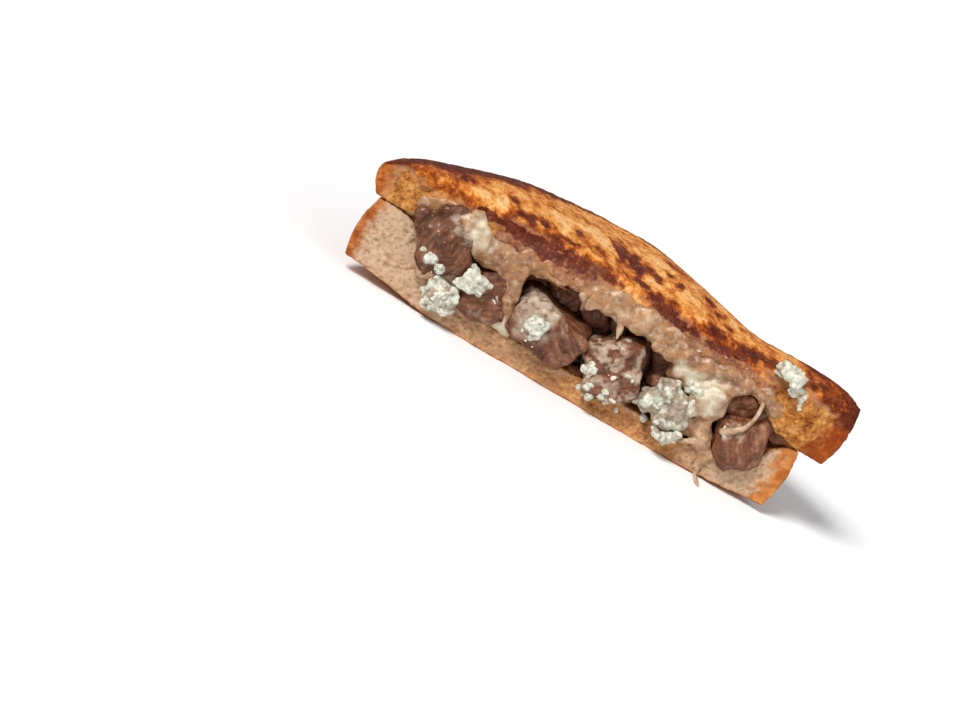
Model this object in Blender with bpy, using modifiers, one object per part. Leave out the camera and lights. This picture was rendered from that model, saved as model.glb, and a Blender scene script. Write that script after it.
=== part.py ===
"""Half of a pan-fried steak melt, cut from corner to corner.

Two thick slices of pan bread hold cubes of steak and melted cheese, with crumbled
blue cheese on the cut side. Sizes are in millimetres until a point is placed, and
each point is measured in the cut's own terms: u along the cut edge, d back from the
cut plane, z up from the table. The row's origin is the middle of the base.
"""

import math

import bmesh
import bpy
from mathutils import Matrix, Vector, noise

MM = 0.001

# Where the row's origin lies, in the cut's own measures
MID_U = 0.25
MID_D = 36.3

# Bread slices: 120 mm square pan loaf, so the diagonal cut is about 165 mm long
BOTTOM_ENDS = (-81.7, 77.5)
TOP_ENDS = (-83.5, 86.0)
BOTTOM_LEG_SLOPES = (1.06, 1.065)
TOP_LEG_SLOPES = (1.05, 1.0)
CORNER_RADIUS = 14.0
END_INSET = 0.5
TOP_END_LEAN = 3.0
END_BULGE = 1.6
APEX_ROUNDING = 16.0
DOME_BULGE = 2.5
SIDE_BULGE = 1.5
WAIST_U = 50.0
WAIST_DEPTH = 4.0
WAIST_WIDTH = 9.0
CRUST_BULGE = 1.0
SLICE_THICKNESS = 19.5
RIM_THICKNESS = 16.5
PRESSED_THICKNESS = 8.5
SHOULDER_WIDTH = 4.0
TOP_SHOULDER_DROP = 2.2
UNDER_SHOULDER_RISE = 1.2
LEFT_CURL = 4.5
RIGHT_CURL = 2.6
BACK_CURL = 1.2

# Heights of the top slice above the table
FRONT_TOP = 42.0
END_DROOP = 8.5
LEFT_RIM_TOP = 40.4
APEX_RIM_TOP = 38.0
SIDE_RIM_TOP = 40.7
RIGHT_RIM_TOP = 48.4
CROWN = 3.0
ROUND_OVER = 4.0

# Filling
GAP_AT_FRONT = 33.0
LEFT_END_UNDERSIDE = 27.6
RIGHT_END_UNDERSIDE = 26.2
LEAST_GAP = 1.0
CLEARANCE = 1.0
CARVE_GAP = 0.65
FRONT_GAP = 1.6
DRIP_GAP = 2.0
CHEESE_RECESS = 9.0
CHEESE_CLEARANCE = 1.6
CHEESE_INSET = 18.0
CHEESE_VOXEL = 1.7
CHEESE_FACES = 1900
CRUMBLE_VOXEL = 0.7

# Steak cubes: name, centre (u, d, z), size (u, d, z), lean about the d axis in degrees
STEAKS = (
    ("steak_1", (-57.4, 4.6, 25.4), (18.0, 17.0, 22.5), 30.0),
    ("steak_2", (-38.2, 6.5, 16.0), (15.5, 20.0, 15.0), 24.0),
    ("steak_3", (-14.5, 7.3, 16.2), (25.5, 23.0, 15.5), -10.0),
    ("steak_4", (-14.0, 14.0, 27.6), (12.0, 14.0, 7.5), 8.0),
    ("steak_5", (-2.6, 15.0, 26.2), (8.5, 15.0, 8.5), 30.0),
    ("steak_6", (5.8, 15.0, 28.0), (6.5, 14.0, 7.0), 20.0),
    ("steak_7", (10.5, 6.5, 16.0), (18.0, 20.0, 18.5), 24.0),
    ("steak_8", (25.5, 14.0, 24.0), (8.0, 16.0, 14.0), 18.0),
    ("steak_9", (32.0, 10.0, 15.5), (15.0, 17.0, 13.0), 12.0),
    ("steak_10", (52.0, 10.0, 28.6), (12.5, 17.0, 8.5), 16.0),
    ("steak_11", (58.9, 6.5, 16.6), (15.5, 20.0, 17.0), 22.0),
)
STEAK_CUTS = 4
STEAK_ROUNDNESS = 0.32
STEAK_UNEVENNESS = 1.3

# Blue cheese: name, centre (u, d, z), spread (u, d, z), lumps, lump radius
CRUMBLES = (
    ("blue_cheese_1", (-49.8, -2.2, 9.4), (5.4, 1.0, 4.2), 6, 3.5),
    ("blue_cheese_2", (-43.6, -4.6, 19.2), (3.2, 0.6, 1.4), 3, 3.0),
    ("blue_cheese_3", (-19.0, -6.0, 17.2), (1.6, 0.4, 1.9), 3, 2.8),
    ("blue_cheese_4", (31.2, -1.6, 15.8), (7.6, 1.2, 6.2), 8, 3.9),
    ("blue_cheese_5", (36.8, -3.2, 8.6), (3.0, 0.4, 1.2), 3, 2.6),
    ("blue_cheese_6", (61.6, 0.6, 44.8), (4.6, 3.0, 0.3), 5, 2.9),
)
SMALL_CRUMBS = (
    ("steak_1", (-58.6, -4.2, 18.6), 1.9),
    ("steak_1", (-54.6, -4.6, 17.0), 1.6),
)

# Melted cheese that shows at the cut: centre (u, d, z), half sizes (u, d, z)
CHEESE_DRIPS = (
    ((-24.0, 3.0, 34.0), (17.0, 5.0, 4.0)),
    ((4.0, 2.5, 35.0), (19.0, 6.0, 4.6)),
    ((28.0, 3.5, 34.5), (14.0, 6.0, 5.0)),
    ((47.0, 4.0, 34.5), (16.0, 6.0, 4.6)),
    ((-48.5, 3.0, 29.0), (5.0, 6.0, 8.5)),
    ((-34.5, 3.0, 25.5), (4.6, 5.5, 6.0)),
    ((-27.5, 2.0, 11.5), (3.6, 4.0, 4.0)),
    ((42.5, 1.5, 25.5), (7.5, 6.0, 6.0)),
    ((47.5, 2.0, 11.0), (6.5, 5.0, 5.5)),
    ((30.0, 3.0, 27.0), (6.0, 5.0, 5.0)),
)


def ramp(t):
    """0 before t = 0, 1 after t = 1, and smooth between."""
    t = min(1.0, max(0.0, t))
    return t * t * (3.0 - 2.0 * t)


def mix(low, high, share):
    return low + (high - low) * share


def swell(x, centre, width):
    return math.exp(-(((x - centre) / width) ** 2))


def placed(u, d, z):
    """A point of the cut's own measures in the row's frame, in metres."""
    return Vector((u - MID_U, d - MID_D, z)) * MM


def measured(point):
    """The reverse of placed."""
    return point.x / MM + MID_U, point.y / MM + MID_D, point.z / MM


def corner_leg(distance, slope):
    """Depth of the crust this far along the cut from a slice's corner."""
    turn = CORNER_RADIUS * (1.0 - math.cos(math.radians(45)))
    if distance < turn:
        return math.sqrt(CORNER_RADIUS**2 - (CORNER_RADIUS - distance) ** 2)
    return CORNER_RADIUS * math.sin(math.radians(45)) + (distance - turn) * slope


def crust_depth(u, ends, slopes):
    """How far back from the cut plane the crust lies at u: one side of the loaf's
    domed top, the rounded corner, and a side with the loaf's waist."""
    left, right = ends
    middle = (left + right) / 2
    domed = corner_leg(u - left, slopes[0])
    domed += DOME_BULGE * math.sin(math.pi * min(1.0, (u - left) / (middle - left)))
    waisted = corner_leg(right - u, slopes[1])
    waisted += SIDE_BULGE * math.sin(math.pi * min(1.0, (right - u) / (right - middle)))
    waisted -= WAIST_DEPTH * swell(u, WAIST_U, WAIST_WIDTH)
    k = APEX_ROUNDING
    return -k * math.log(math.exp(-domed / k) + math.exp(-waisted / k))


def bottom_depth(u):
    return crust_depth(u, BOTTOM_ENDS, BOTTOM_LEG_SLOPES)


def top_depth(u):
    return crust_depth(u, TOP_ENDS, TOP_LEG_SLOPES)


def inside_crust(u, d, depth):
    """Distance in from the crust, square to a leg that runs at 45 degrees."""
    u = min(TOP_ENDS[1] - END_INSET, max(TOP_ENDS[0] + END_INSET, u))
    return max(0.0, depth(u) - d) * math.sqrt(0.5)


def base_height(u, d):
    """The bottom slice's underside: flat, with its corners curled up."""
    left = LEFT_CURL * ramp((-42.0 - u) / 42.0)
    right = RIGHT_CURL * ramp((u - 42.0) / 40.0)
    return left + right + BACK_CURL * ramp((d - 62.0) / 20.0)


def filling_floor(u, d):
    """The bottom slice's upper surface: pressed thin under the steak, full at the corners."""
    front = PRESSED_THICKNESS
    front += (SLICE_THICKNESS + 1.3 - PRESSED_THICKNESS) * ramp((-52.0 - u) / 15.0)
    front += (SLICE_THICKNESS + 0.8 - PRESSED_THICKNESS) * ramp((u - 61.0) / 12.0)
    u_in = min(BOTTOM_ENDS[1] - END_INSET, max(BOTTOM_ENDS[0] + END_INSET, u))
    q = inside_crust(u_in, d, bottom_depth)
    thickness = mix(front, max(front, RIM_THICKNESS), ramp((16.0 - q) / 12.0))
    return base_height(u, d) + thickness


def crown_height(u, d):
    """The top slice's toasted surface."""
    droop = END_DROOP * max(0.0, (-71.0 - u) / 14.0) ** 2
    front = FRONT_TOP - droop
    front += 1.4 * swell(u, -14.0, 12.0) + 2.2 * swell(u, 24.0, 11.0)
    front += 3.2 * ramp((u - 48.0) / 26.0)
    rim = mix(LEFT_RIM_TOP, APEX_RIM_TOP, ramp((u + 42.0) / 32.0))
    rim = mix(rim, SIDE_RIM_TOP, ramp((u + 2.0) / 22.0))
    rim = mix(rim, RIGHT_RIM_TOP, ramp((u - 48.0) / 34.0)) - 0.6 * droop
    u_in = min(TOP_ENDS[1] - END_INSET, max(TOP_ENDS[0] + END_INSET, u))
    share = min(1.0, max(0.0, d / top_depth(u_in)))
    return mix(front, rim, ramp(share)) + CROWN * math.sin(math.pi * share) * ramp(
        (75.0 - abs(u)) / 30.0
    )


def filling_ceiling(u, d):
    """The top slice's underside, down on the bottom slice near the crust."""
    front = mix(LEFT_END_UNDERSIDE, GAP_AT_FRONT, ramp((u + 74.0) / 9.0))
    front += 2.4 * swell(u, -59.0, 9.0) + 1.6 * swell(u, 30.0, 14.0)
    front = mix(front, RIGHT_END_UNDERSIDE, ramp((u - 56.0) / 12.0))
    q = inside_crust(u, d, top_depth)
    closed = max(filling_floor(u, d) + LEAST_GAP, crown_height(u, d) - SLICE_THICKNESS)
    return mix(max(front, filling_floor(u, d) + LEAST_GAP), closed, ramp((26.0 - q) / 20.0))


def remade(obj, make_closed=False):
    """Replaces the object's mesh by what its modifiers make of it."""
    graph = bpy.context.evaluated_depsgraph_get()
    mesh = bpy.data.meshes.new_from_object(obj.evaluated_get(graph))
    obj.modifiers.clear()
    old = obj.data
    obj.data = mesh
    bpy.data.meshes.remove(old)
    if make_closed:
        keep_largest_piece(obj)
    return obj


def keep_largest_piece(obj):
    """Drops the loose scraps that a cut leaves, so that the node is one body."""
    bm = bmesh.new()
    bm.from_mesh(obj.data)
    unseen = set(bm.verts)
    pieces = []
    while unseen:
        reached = {unseen.pop()}
        front = list(reached)
        while front:
            vert = front.pop()
            for edge in vert.link_edges:
                other = edge.other_vert(vert)
                if other in unseen:
                    unseen.remove(other)
                    reached.add(other)
                    front.append(other)
        pieces.append(reached)
    pieces.sort(key=len)
    scraps = [v for piece in pieces[:-1] for v in piece]
    bmesh.ops.delete(bm, geom=scraps, context="VERTS")
    bmesh.ops.triangulate(bm, faces=bm.faces[:])
    bm.to_mesh(obj.data)
    bm.free()


def new_object(name, bm, collection, material=None):
    mesh = bpy.data.meshes.new(name)
    bmesh.ops.recalc_face_normals(bm, faces=bm.faces[:])
    bm.to_mesh(mesh)
    bm.free()
    obj = bpy.data.objects.new(name, mesh)
    collection.objects.link(obj)
    if material:
        mesh.materials.append(material)
    return obj


def block(columns, rows, layers):
    """A cube cut into a grid, as wide, deep and high as 2."""
    bm = bmesh.new()
    bmesh.ops.create_cube(bm, size=2.0)
    for axis, count in enumerate((columns, rows, layers)):
        edges = [
            e for e in bm.edges if abs(e.verts[0].co[axis] - e.verts[1].co[axis]) > 1.5
        ]
        bmesh.ops.subdivide_edges(bm, edges=edges, cuts=count - 1, use_grid_fill=True)
    return bm


def bread_slice(name, ends, depth, under, upper, front, lean, collection, material):
    """A slice shaped from a grid block: across it from corner to corner, back to the
    crust, and up through its thickness."""
    bm = block(columns=38, rows=10, layers=3)
    middle = (ends[0] + ends[1]) / 2
    half = (ends[1] - ends[0]) / 2 - END_INSET
    for vert in bm.verts:
        across, back, up = vert.co.x, (vert.co.y + 1) / 2, (vert.co.z + 1) / 2
        u = middle + half * (0.8 * across + 0.2 * math.sin(math.pi / 2 * across))
        sideways = -lean * up * max(0.0, -across) ** 12
        share = 1.0 - (1.0 - back) ** (1.0 + 0.45 * min(1.0, depth(u) / 80.0))
        wall = 1.0 - (2.0 * up - 1.0) ** 2
        sideways += END_BULGE * wall * across**11
        start = front(u, up)
        end = depth(u) - 1.0 + CRUST_BULGE * wall
        d = mix(start, end, share)
        edge = min(1.0, (depth(u) - d) / SHOULDER_WIDTH)
        shoulder = 1.0 - math.sqrt(max(0.0, 1.0 - (1.0 - max(0.0, edge)) ** 2))
        low = under(u, d) + UNDER_SHOULDER_RISE * shoulder
        high = upper(u, d) - TOP_SHOULDER_DROP * shoulder
        vert.co = placed(u + sideways, d, mix(low, high, up))
    return new_object(name, bm, collection, material)


def steak_cube(centre, size, lean, seed, grow=0.0):
    """One cube of steak: soft corners, uneven faces and a lean."""
    bm = block(STEAK_CUTS, STEAK_CUTS, STEAK_CUTS)
    turn = Matrix.Rotation(math.radians(-lean), 3, "Y")
    for vert in bm.verts:
        soft = vert.co.lerp(vert.co.normalized() * 1.25, STEAK_ROUNDNESS)
        bump = noise.noise(soft * 1.3 + Vector((seed * 7.1, seed * 3.3, seed * 5.7)))
        point = Vector([soft[i] * (size[i] / 2 + grow) for i in range(3)])
        point += soft.normalized() * STEAK_UNEVENNESS * 2.0 * bump
        u, d, z = turn @ point + Vector(centre)
        vert.co = placed(u, d, z)
    bmesh.ops.triangulate(bm, faces=bm.faces[:], quad_method="FIXED")
    return bm


def filling_room(collection, clearance):
    """The room between the slices, with a clear margin to the bread. It flares out in
    front of the cut, where pieces hang a little over the bread's edges."""
    bm = block(columns=60, rows=14, layers=1)
    for vert in bm.verts:
        u = mix(BOTTOM_ENDS[0] + 6.0, BOTTOM_ENDS[1] - 6.0, (vert.co.x + 1) / 2)
        row = round((vert.co.y + 1) / 2 * 14)
        back = min(34.0, bottom_depth(u) - 4.0, top_depth(u) - 4.0)
        d = (-14.0, -1.4, -0.6)[row] if row < 3 else mix(0.0, back, (row - 2) / 12)
        margin = clearance * (1.0 + 0.1 * max(0.0, d))
        floor = filling_floor(u, max(0.0, d)) + margin
        ceiling = filling_ceiling(u, max(0.0, d)) - margin
        if row < 2:
            floor, ceiling = floor - 4.0, ceiling + 4.0
        if ceiling < floor + 0.2:
            floor = ceiling = (floor + ceiling) / 2
            ceiling += 0.2
        vert.co = placed(u, d, ceiling if vert.co.z > 0 else floor)
    new_object("room", bm, collection)


def add_lump(bm, centre, radius, seed, grow=0.0):
    """One crumb of cheese: a small uneven ball."""
    ball = bmesh.ops.create_icosphere(bm, subdivisions=2, radius=1.0)
    for vert in ball["verts"]:
        swollen = 1.0 + 0.5 * noise.noise(vert.co * 1.4 + Vector((seed, 2 * seed, 0)))
        u, d, z = vert.co * (radius * swollen + grow) + Vector(centre)
        vert.co = placed(u, d, z)


def crumble_lumps(centre, spread, count, radius, seed):
    """Centres and sizes of a crumble's lumps, spread by a golden-angle spiral."""
    golden = math.pi * (3.0 - math.sqrt(5.0))
    for i in range(count):
        reach = math.sqrt((i + 0.3) / count)
        turn = i * golden + seed
        wobble = noise.noise(Vector((seed, i * 1.7, 0.5)))
        offset = (
            spread[0] * reach * math.cos(turn),
            spread[1] * wobble * 1.6,
            spread[2] * reach * math.sin(turn),
        )
        if spread[1] > spread[2]:
            offset = (offset[0], spread[1] * reach * math.sin(turn), spread[2] * wobble)
        where = [centre[k] + offset[k] for k in range(3)]
        yield where, radius * (1.0 + 0.5 * wobble)


def boolean(obj, operation, collection, solver="EXACT"):
    cut = obj.modifiers.new(operation.title(), "BOOLEAN")
    cut.operation = operation
    cut.operand_type = "COLLECTION"
    cut.collection = collection
    cut.solver = solver
    return remade(obj, make_closed=True)


def new_collection(name, hidden=False):
    collection = bpy.data.collections.new(name)
    bpy.context.scene.collection.children.link(collection)
    collection.hide_render = hidden
    return collection


def clear_collection(collection):
    for obj in list(collection.objects):
        bpy.data.objects.remove(obj)
    bpy.data.collections.remove(collection)


def steak_cutters(collection, names=None):
    """Slightly larger copies of the steak, for the seats of what lies against it."""
    for seed, (name, centre, size, lean) in enumerate(STEAKS, start=1):
        if names is None or name in names:
            bm = steak_cube(centre, size, lean, seed, grow=CARVE_GAP)
            new_object("seat_of_" + name, bm, collection)


def make_steaks(collection, material):
    """Each cube keeps to the room between the slices and gives way to the ones before."""
    room = new_collection("room_for_steak", hidden=True)
    filling_room(room, CLEARANCE)
    placed_before = []
    for seed, (name, centre, size, lean) in enumerate(STEAKS, start=1):
        bm = steak_cube(centre, size, lean, seed)
        piece = new_object(name, bm, collection, material)
        boolean(piece, "INTERSECT", room)
        if placed_before:
            seats = new_collection("seats_in_" + name, hidden=True)
            steak_cutters(seats, placed_before)
            boolean(piece, "DIFFERENCE", seats)
            clear_collection(seats)
        placed_before.append(name)
        crumbs = [crumb for crumb in SMALL_CRUMBS if crumb[0] == name]
        if crumbs:
            joined = new_collection("crumbs_on_" + name, hidden=True)
            for i, (_, where, radius) in enumerate(crumbs):
                bm = bmesh.new()
                add_lump(bm, where, radius, seed + i)
                new_object(f"crumb_{i}", bm, joined)
            boolean(piece, "UNION", joined)
            clear_collection(joined)
    clear_collection(room)


def clear_of_bread(bm):
    """Keeps a crumble that hangs before the bread clear of its cut face, and one that
    lies on the toast clear of its surface."""
    for vert in bm.verts:
        u, d, z = measured(vert.co)
        if d < -FRONT_GAP:
            continue
        if z > FRONT_TOP - 6.0 and u > 50.0:
            z = max(z, crown_height(u, max(0.0, d)) + 1.3)
        elif z < filling_floor(u, 0.0) + 2.5:
            d = -FRONT_GAP
        vert.co = placed(u, d, z)


def melt_together(obj, voxel, faces):
    """Makes overlapping lumps one closed body with about this many triangles."""
    melt = obj.modifiers.new("Melt together", "REMESH")
    melt.mode = "VOXEL"
    melt.voxel_size = voxel * MM
    remade(obj)
    thin = obj.modifiers.new("Fewer faces", "DECIMATE")
    thin.ratio = min(1.0, faces / 2 / len(obj.data.polygons))
    remade(obj, make_closed=True)


def make_crumbles(collection, material):
    seats = new_collection("seats_for_crumbles", hidden=True)
    steak_cutters(seats)
    for seed, (name, centre, spread, count, radius) in enumerate(CRUMBLES, start=1):
        bm = bmesh.new()
        lumps = crumble_lumps(centre, spread, count, radius, seed)
        for i, (where, size) in enumerate(lumps):
            add_lump(bm, where, size, seed + i)
        clear_of_bread(bm)
        crumble = new_object(name, bm, collection, material)
        melt_together(crumble, CRUMBLE_VOXEL, 110 + 30 * count)
        boolean(crumble, "DIFFERENCE", seats)
        crumble_cutters(seats, [name])
    clear_collection(seats)


def crumble_cutters(collection, names):
    """Slightly larger copies of the crumbles' lumps."""
    for seed, (name, centre, spread, count, radius) in enumerate(CRUMBLES, start=1):
        if name not in names:
            continue
        lumps = crumble_lumps(centre, spread, count, radius, seed)
        for i, (where, size) in enumerate(lumps):
            bm = bmesh.new()
            add_lump(bm, where, size, seed + i, grow=CARVE_GAP)
            new_object(f"seat_{i}_of_{name}", bm, collection)


def between_slices(u, d, z):
    """The height nearest to z that is clear of the bread, behind the cut plane."""
    if d < -DRIP_GAP:
        return z
    floor = filling_floor(u, max(0.0, d)) + CHEESE_CLEARANCE
    ceiling = filling_ceiling(u, max(0.0, d)) - CHEESE_CLEARANCE
    return max(floor, min(ceiling, z))


def make_melted_cheese(collection, material):
    """The cheese that fills the sandwich and runs out at the cut, with a seat for
    each piece of steak and each crumble."""
    bm = block(columns=50, rows=16, layers=2)
    reach = (BOTTOM_ENDS[0] + 17.0, BOTTOM_ENDS[1] - 17.0)
    for vert in bm.verts:
        u = mix(*reach, (vert.co.x + 1) / 2)
        start = CHEESE_RECESS
        back = min(bottom_depth(u), top_depth(u)) - CHEESE_INSET
        d = mix(start, max(start + 4.0, back), (vert.co.y + 1) / 2)
        floor, ceiling = between_slices(u, d, -99.0), between_slices(u, d, 99.0)
        vert.co = placed(u, d, mix(floor, max(floor + 1.5, ceiling), (vert.co.z + 1) / 2))
    for centre, half in CHEESE_DRIPS:
        drip = bmesh.ops.create_icosphere(bm, subdivisions=3, radius=1.0)
        for vert in drip["verts"]:
            swollen = 1.0 + 0.3 * noise.noise(vert.co * 1.5 + Vector(centre))
            u, d, z = [centre[i] + vert.co[i] * half[i] * swollen for i in range(3)]
            vert.co = placed(u, d, between_slices(u, d, z))
    cheese = new_object("melted_cheese", bm, collection, material)
    melt_together(cheese, CHEESE_VOXEL, CHEESE_FACES)
    seats = new_collection("seats_in_cheese", hidden=True)
    steak_cutters(seats)
    crumble_cutters(seats, [crumble[0] for crumble in CRUMBLES])
    boolean(cheese, "DIFFERENCE", seats)
    clear_collection(seats)


def material(name, colour, roughness):
    made = bpy.data.materials.new(name)
    made.use_nodes = True
    shader = made.node_tree.nodes["Principled BSDF"]
    shader.inputs["Base Color"].default_value = (*colour, 1.0)
    shader.inputs["Roughness"].default_value = roughness
    shader.inputs["Metallic"].default_value = 0.0
    made.diffuse_color = (*colour, 1.0)
    return made


def bottom_front(u, up):
    return 0.7 * noise.noise(Vector((u * 0.09, 3.0, up)))


def top_front(u, up):
    """The cut edge of the top slice, rounded over where the pan pressed it thin."""
    pressed_thin = ramp((u + 72.0) / 14.0) * ramp((70.0 - u) / 14.0)
    wave = 1.2 * noise.noise(Vector((u * 0.07, 9.0, up * 1.5)))
    return wave + ROUND_OVER * pressed_thin * up**2


def main():
    for obj in list(bpy.data.objects):
        bpy.data.objects.remove(obj)
    melt = new_collection("steak_melt")
    toast = material("toast", (0.62, 0.31, 0.11), 0.6)
    steak = material("steak", (0.17, 0.085, 0.06), 0.45)
    melted = material("melted_cheese", (0.66, 0.5, 0.3), 0.35)
    blue = material("blue_cheese", (0.72, 0.73, 0.62), 0.55)
    bread_slice("bottom_slice", BOTTOM_ENDS, bottom_depth, base_height, filling_floor,
                bottom_front, 0.0, melt, toast)
    bread_slice("top_slice", TOP_ENDS, top_depth, filling_ceiling, crown_height,
                top_front, TOP_END_LEAN, melt, toast)
    make_steaks(melt, steak)
    make_crumbles(melt, blue)
    make_melted_cheese(melt, melted)


main()
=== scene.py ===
# %% [markdown]
# # Half of a toasted steak melt
# A thick pan-bread sandwich, toasted on a hot plate with steak, melted cheese and crumbled
# blue cheese, then cut from corner to corner. The solids come ready made with their sizes.
# This file gives them their skins: pores, browning, meat grain and melted gloss. The
# solids' own box is kept here, because nothing added may grow out of it.

# %% Load the sandwich's solids
import math
import random

import bmesh
import bpy
import numpy as np
from mathutils import Matrix, Vector, noise
from mathutils.bvhtree import BVHTree
from mathutils.kdtree import KDTree


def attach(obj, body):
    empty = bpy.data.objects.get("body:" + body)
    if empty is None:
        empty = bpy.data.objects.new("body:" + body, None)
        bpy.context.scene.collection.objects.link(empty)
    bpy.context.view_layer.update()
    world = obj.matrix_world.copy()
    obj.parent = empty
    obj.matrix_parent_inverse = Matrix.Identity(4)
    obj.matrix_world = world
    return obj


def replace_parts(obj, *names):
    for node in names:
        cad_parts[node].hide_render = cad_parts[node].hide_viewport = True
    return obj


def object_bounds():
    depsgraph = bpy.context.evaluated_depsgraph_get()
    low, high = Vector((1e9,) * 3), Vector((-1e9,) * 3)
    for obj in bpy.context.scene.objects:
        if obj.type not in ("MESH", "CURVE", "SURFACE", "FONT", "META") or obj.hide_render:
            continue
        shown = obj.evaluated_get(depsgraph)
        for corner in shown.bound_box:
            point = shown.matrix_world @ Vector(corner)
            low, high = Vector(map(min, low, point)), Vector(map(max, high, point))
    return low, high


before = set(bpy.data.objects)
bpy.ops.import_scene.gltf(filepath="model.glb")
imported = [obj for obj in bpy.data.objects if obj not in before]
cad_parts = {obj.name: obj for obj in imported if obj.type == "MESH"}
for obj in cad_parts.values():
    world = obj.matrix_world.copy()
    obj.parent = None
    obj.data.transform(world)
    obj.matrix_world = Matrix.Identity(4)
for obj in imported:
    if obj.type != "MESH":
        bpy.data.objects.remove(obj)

CAD_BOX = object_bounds()
MM = 0.001
print("box in mm:", [round((b - a) / MM, 1) for a, b in zip(*CAD_BOX)])

# %% [markdown]
# ## Camera
# The half was propped up when it was seen, and here it rests flat, so the camera rolls
# instead. A camera is easiest to place by what it looks at, its distance and its two angles,
# and its roll then turns its own two axes. The lens is long, as in a product picture.

# %% Place the camera
AZIMUTH, ELEVATION, ROLL = (math.radians(a) for a in (-12.0, 18.0, -34.175))
TARGET = Vector((-18.68, 3.7, -16.17)) * MM
DISTANCE = 0.75
FOCAL_LENGTH, SENSOR_WIDTH = 84.18, 36.0
NEAREST, FURTHEST = 0.01, 30.0

away = Vector((math.sin(AZIMUTH) * math.cos(ELEVATION),
               -math.cos(AZIMUTH) * math.cos(ELEVATION), math.sin(ELEVATION)))
level = Vector((math.cos(AZIMUTH), math.sin(AZIMUTH), 0.0))
upright = away.cross(level)
across = level * math.cos(ROLL) - upright * math.sin(ROLL)
upward = level * math.sin(ROLL) + upright * math.cos(ROLL)
lens = bpy.data.cameras.new("camera")
lens.lens, lens.sensor_width = FOCAL_LENGTH, SENSOR_WIDTH
lens.clip_start, lens.clip_end = NEAREST, FURTHEST
camera = bpy.data.objects.new("camera", lens)
bpy.context.scene.collection.objects.link(camera)
camera.matrix_world = Matrix.LocRotScale(
    TARGET + away * DISTANCE, Matrix((across, upward, away)).transposed(), None)
bpy.context.scene.camera = camera
print("camera at", [round(c, 3) for c in camera.matrix_world.translation])

# %% [markdown]
# ## Building shaders in code
# A node tree is only boxes and wires. A few helpers keep the recipes short: one adds a box
# and fills its sockets with a number, a colour or a wire, some do sums, and one mixes two
# colours. The others name the patterns that food needs most: a cloud of noise, a soft step,
# a colour ramp and a painted mask.

# %% Short names for shader boxes
def feed(tree, socket, value):
    """A socket gets a wire or a plain value."""
    if isinstance(value, bpy.types.NodeSocket):
        tree.links.new(value, socket)
    else:
        socket.default_value = value


def place(tree, kind, sockets=None, **settings):
    box = tree.nodes.new(kind)
    for name, value in settings.items():
        setattr(box, name, value)
    for name, value in (sockets or {}).items():
        feed(tree, box.inputs[name], value)
    return box


def sums(tree, how, first, second=0.0, third=0.0, clamp=False):
    box = place(tree, "ShaderNodeMath", {0: first, 1: second, 2: third}, operation=how,
                use_clamp=clamp)
    return box.outputs[0]


def times(tree, first, second):
    return sums(tree, "MULTIPLY", first, second)


def plus(tree, first, *others):
    for other in others:
        first = sums(tree, "ADD", first, other)
    return first


def swing(tree, cloud, amount):
    """Noise lies round 0.5. Here it pushes up or down, by half the amount at most."""
    return times(tree, sums(tree, "SUBTRACT", cloud, 0.5), amount)


def tint(tree, amount, first, second, way="MIX"):
    """The first colour where amount is 0, and the second where it is 1."""
    box = place(tree, "ShaderNodeMix", data_type="RGBA", blend_type=way)
    for index, value in ((0, amount), (6, first), (7, second)):
        feed(tree, box.inputs[index], value)
    return box.outputs[2]


def painted(tree, name, amount=None):
    """A mask that is painted on the skin, and how much of it counts."""
    mask = place(tree, "ShaderNodeAttribute", attribute_name=name).outputs["Fac"]
    return mask if amount is None else times(tree, mask, amount)


def cloudy(tree, where, scale, detail, roughness=0.5):
    return place(tree, "ShaderNodeTexNoise", {
        "Vector": where, "Scale": scale, "Detail": detail, "Roughness": roughness,
    }).outputs["Fac"]


def soft_step(tree, value, low, high, most=1.0, shape="SMOOTHSTEP"):
    """0 where the value is below low, and the most where it is above high."""
    return place(tree, "ShaderNodeMapRange", {
        "Value": value, "From Min": low, "From Max": high, "To Max": most,
    }, interpolation_type=shape).outputs["Result"]


def ramp_of(tree, value, *stops):
    """A colour ramp, from (place, colour) pairs."""
    box = place(tree, "ShaderNodeValToRGB", {"Fac": value})
    while len(box.color_ramp.elements) < len(stops):
        box.color_ramp.elements.new(0.5)
    for element, (where, colour) in zip(box.color_ramp.elements, stops):
        element.position = where
        element.color = (*colour, 1.0)
    return box.outputs["Color"]


def colour(red, green, blue):
    return (red, green, blue, 1.0)


# %% [markdown]
# ## Two effects that every food here shares
# Blotches are soft-edged patches: browning, fat, film. They are noise cut at a level, so the
# group takes the noise's scale, a level and a softness and puts out a mask. Tooth is the fine
# roughness under the finger, too small to model: noise at two sizes feeds a Bump node,
# whose normal goes to the shader. Each is a node group that is built once.

# %% Build the shared groups
def new_group(name, inputs, outputs):
    group = bpy.data.node_groups.new(name, "ShaderNodeTree")
    for label, kind, value in inputs:
        socket = group.interface.new_socket(label, in_out="INPUT", socket_type=kind)
        if value is not None:
            socket.default_value = value
    for label, kind in outputs:
        group.interface.new_socket(label, in_out="OUTPUT", socket_type=kind)
    return group, group.nodes.new("NodeGroupInput"), group.nodes.new("NodeGroupOutput")


FLOAT, VECTOR = "NodeSocketFloat", "NodeSocketVector"
blotches, ins, outs = new_group(
    "blotches",
    [("Vector", VECTOR, None), ("Scale", FLOAT, 200.0), ("Detail", FLOAT, 4.0),
     ("Level", FLOAT, 0.5), ("Softness", FLOAT, 0.05)],
    [("Mask", FLOAT)])
given = ins.outputs
low = sums(blotches, "SUBTRACT", given["Level"], given["Softness"])
high = plus(blotches, given["Level"], given["Softness"])
cloud = cloudy(blotches, given["Vector"], given["Scale"], given["Detail"], 0.6)
feed(blotches, outs.inputs["Mask"], soft_step(blotches, cloud, low, high))

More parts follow.
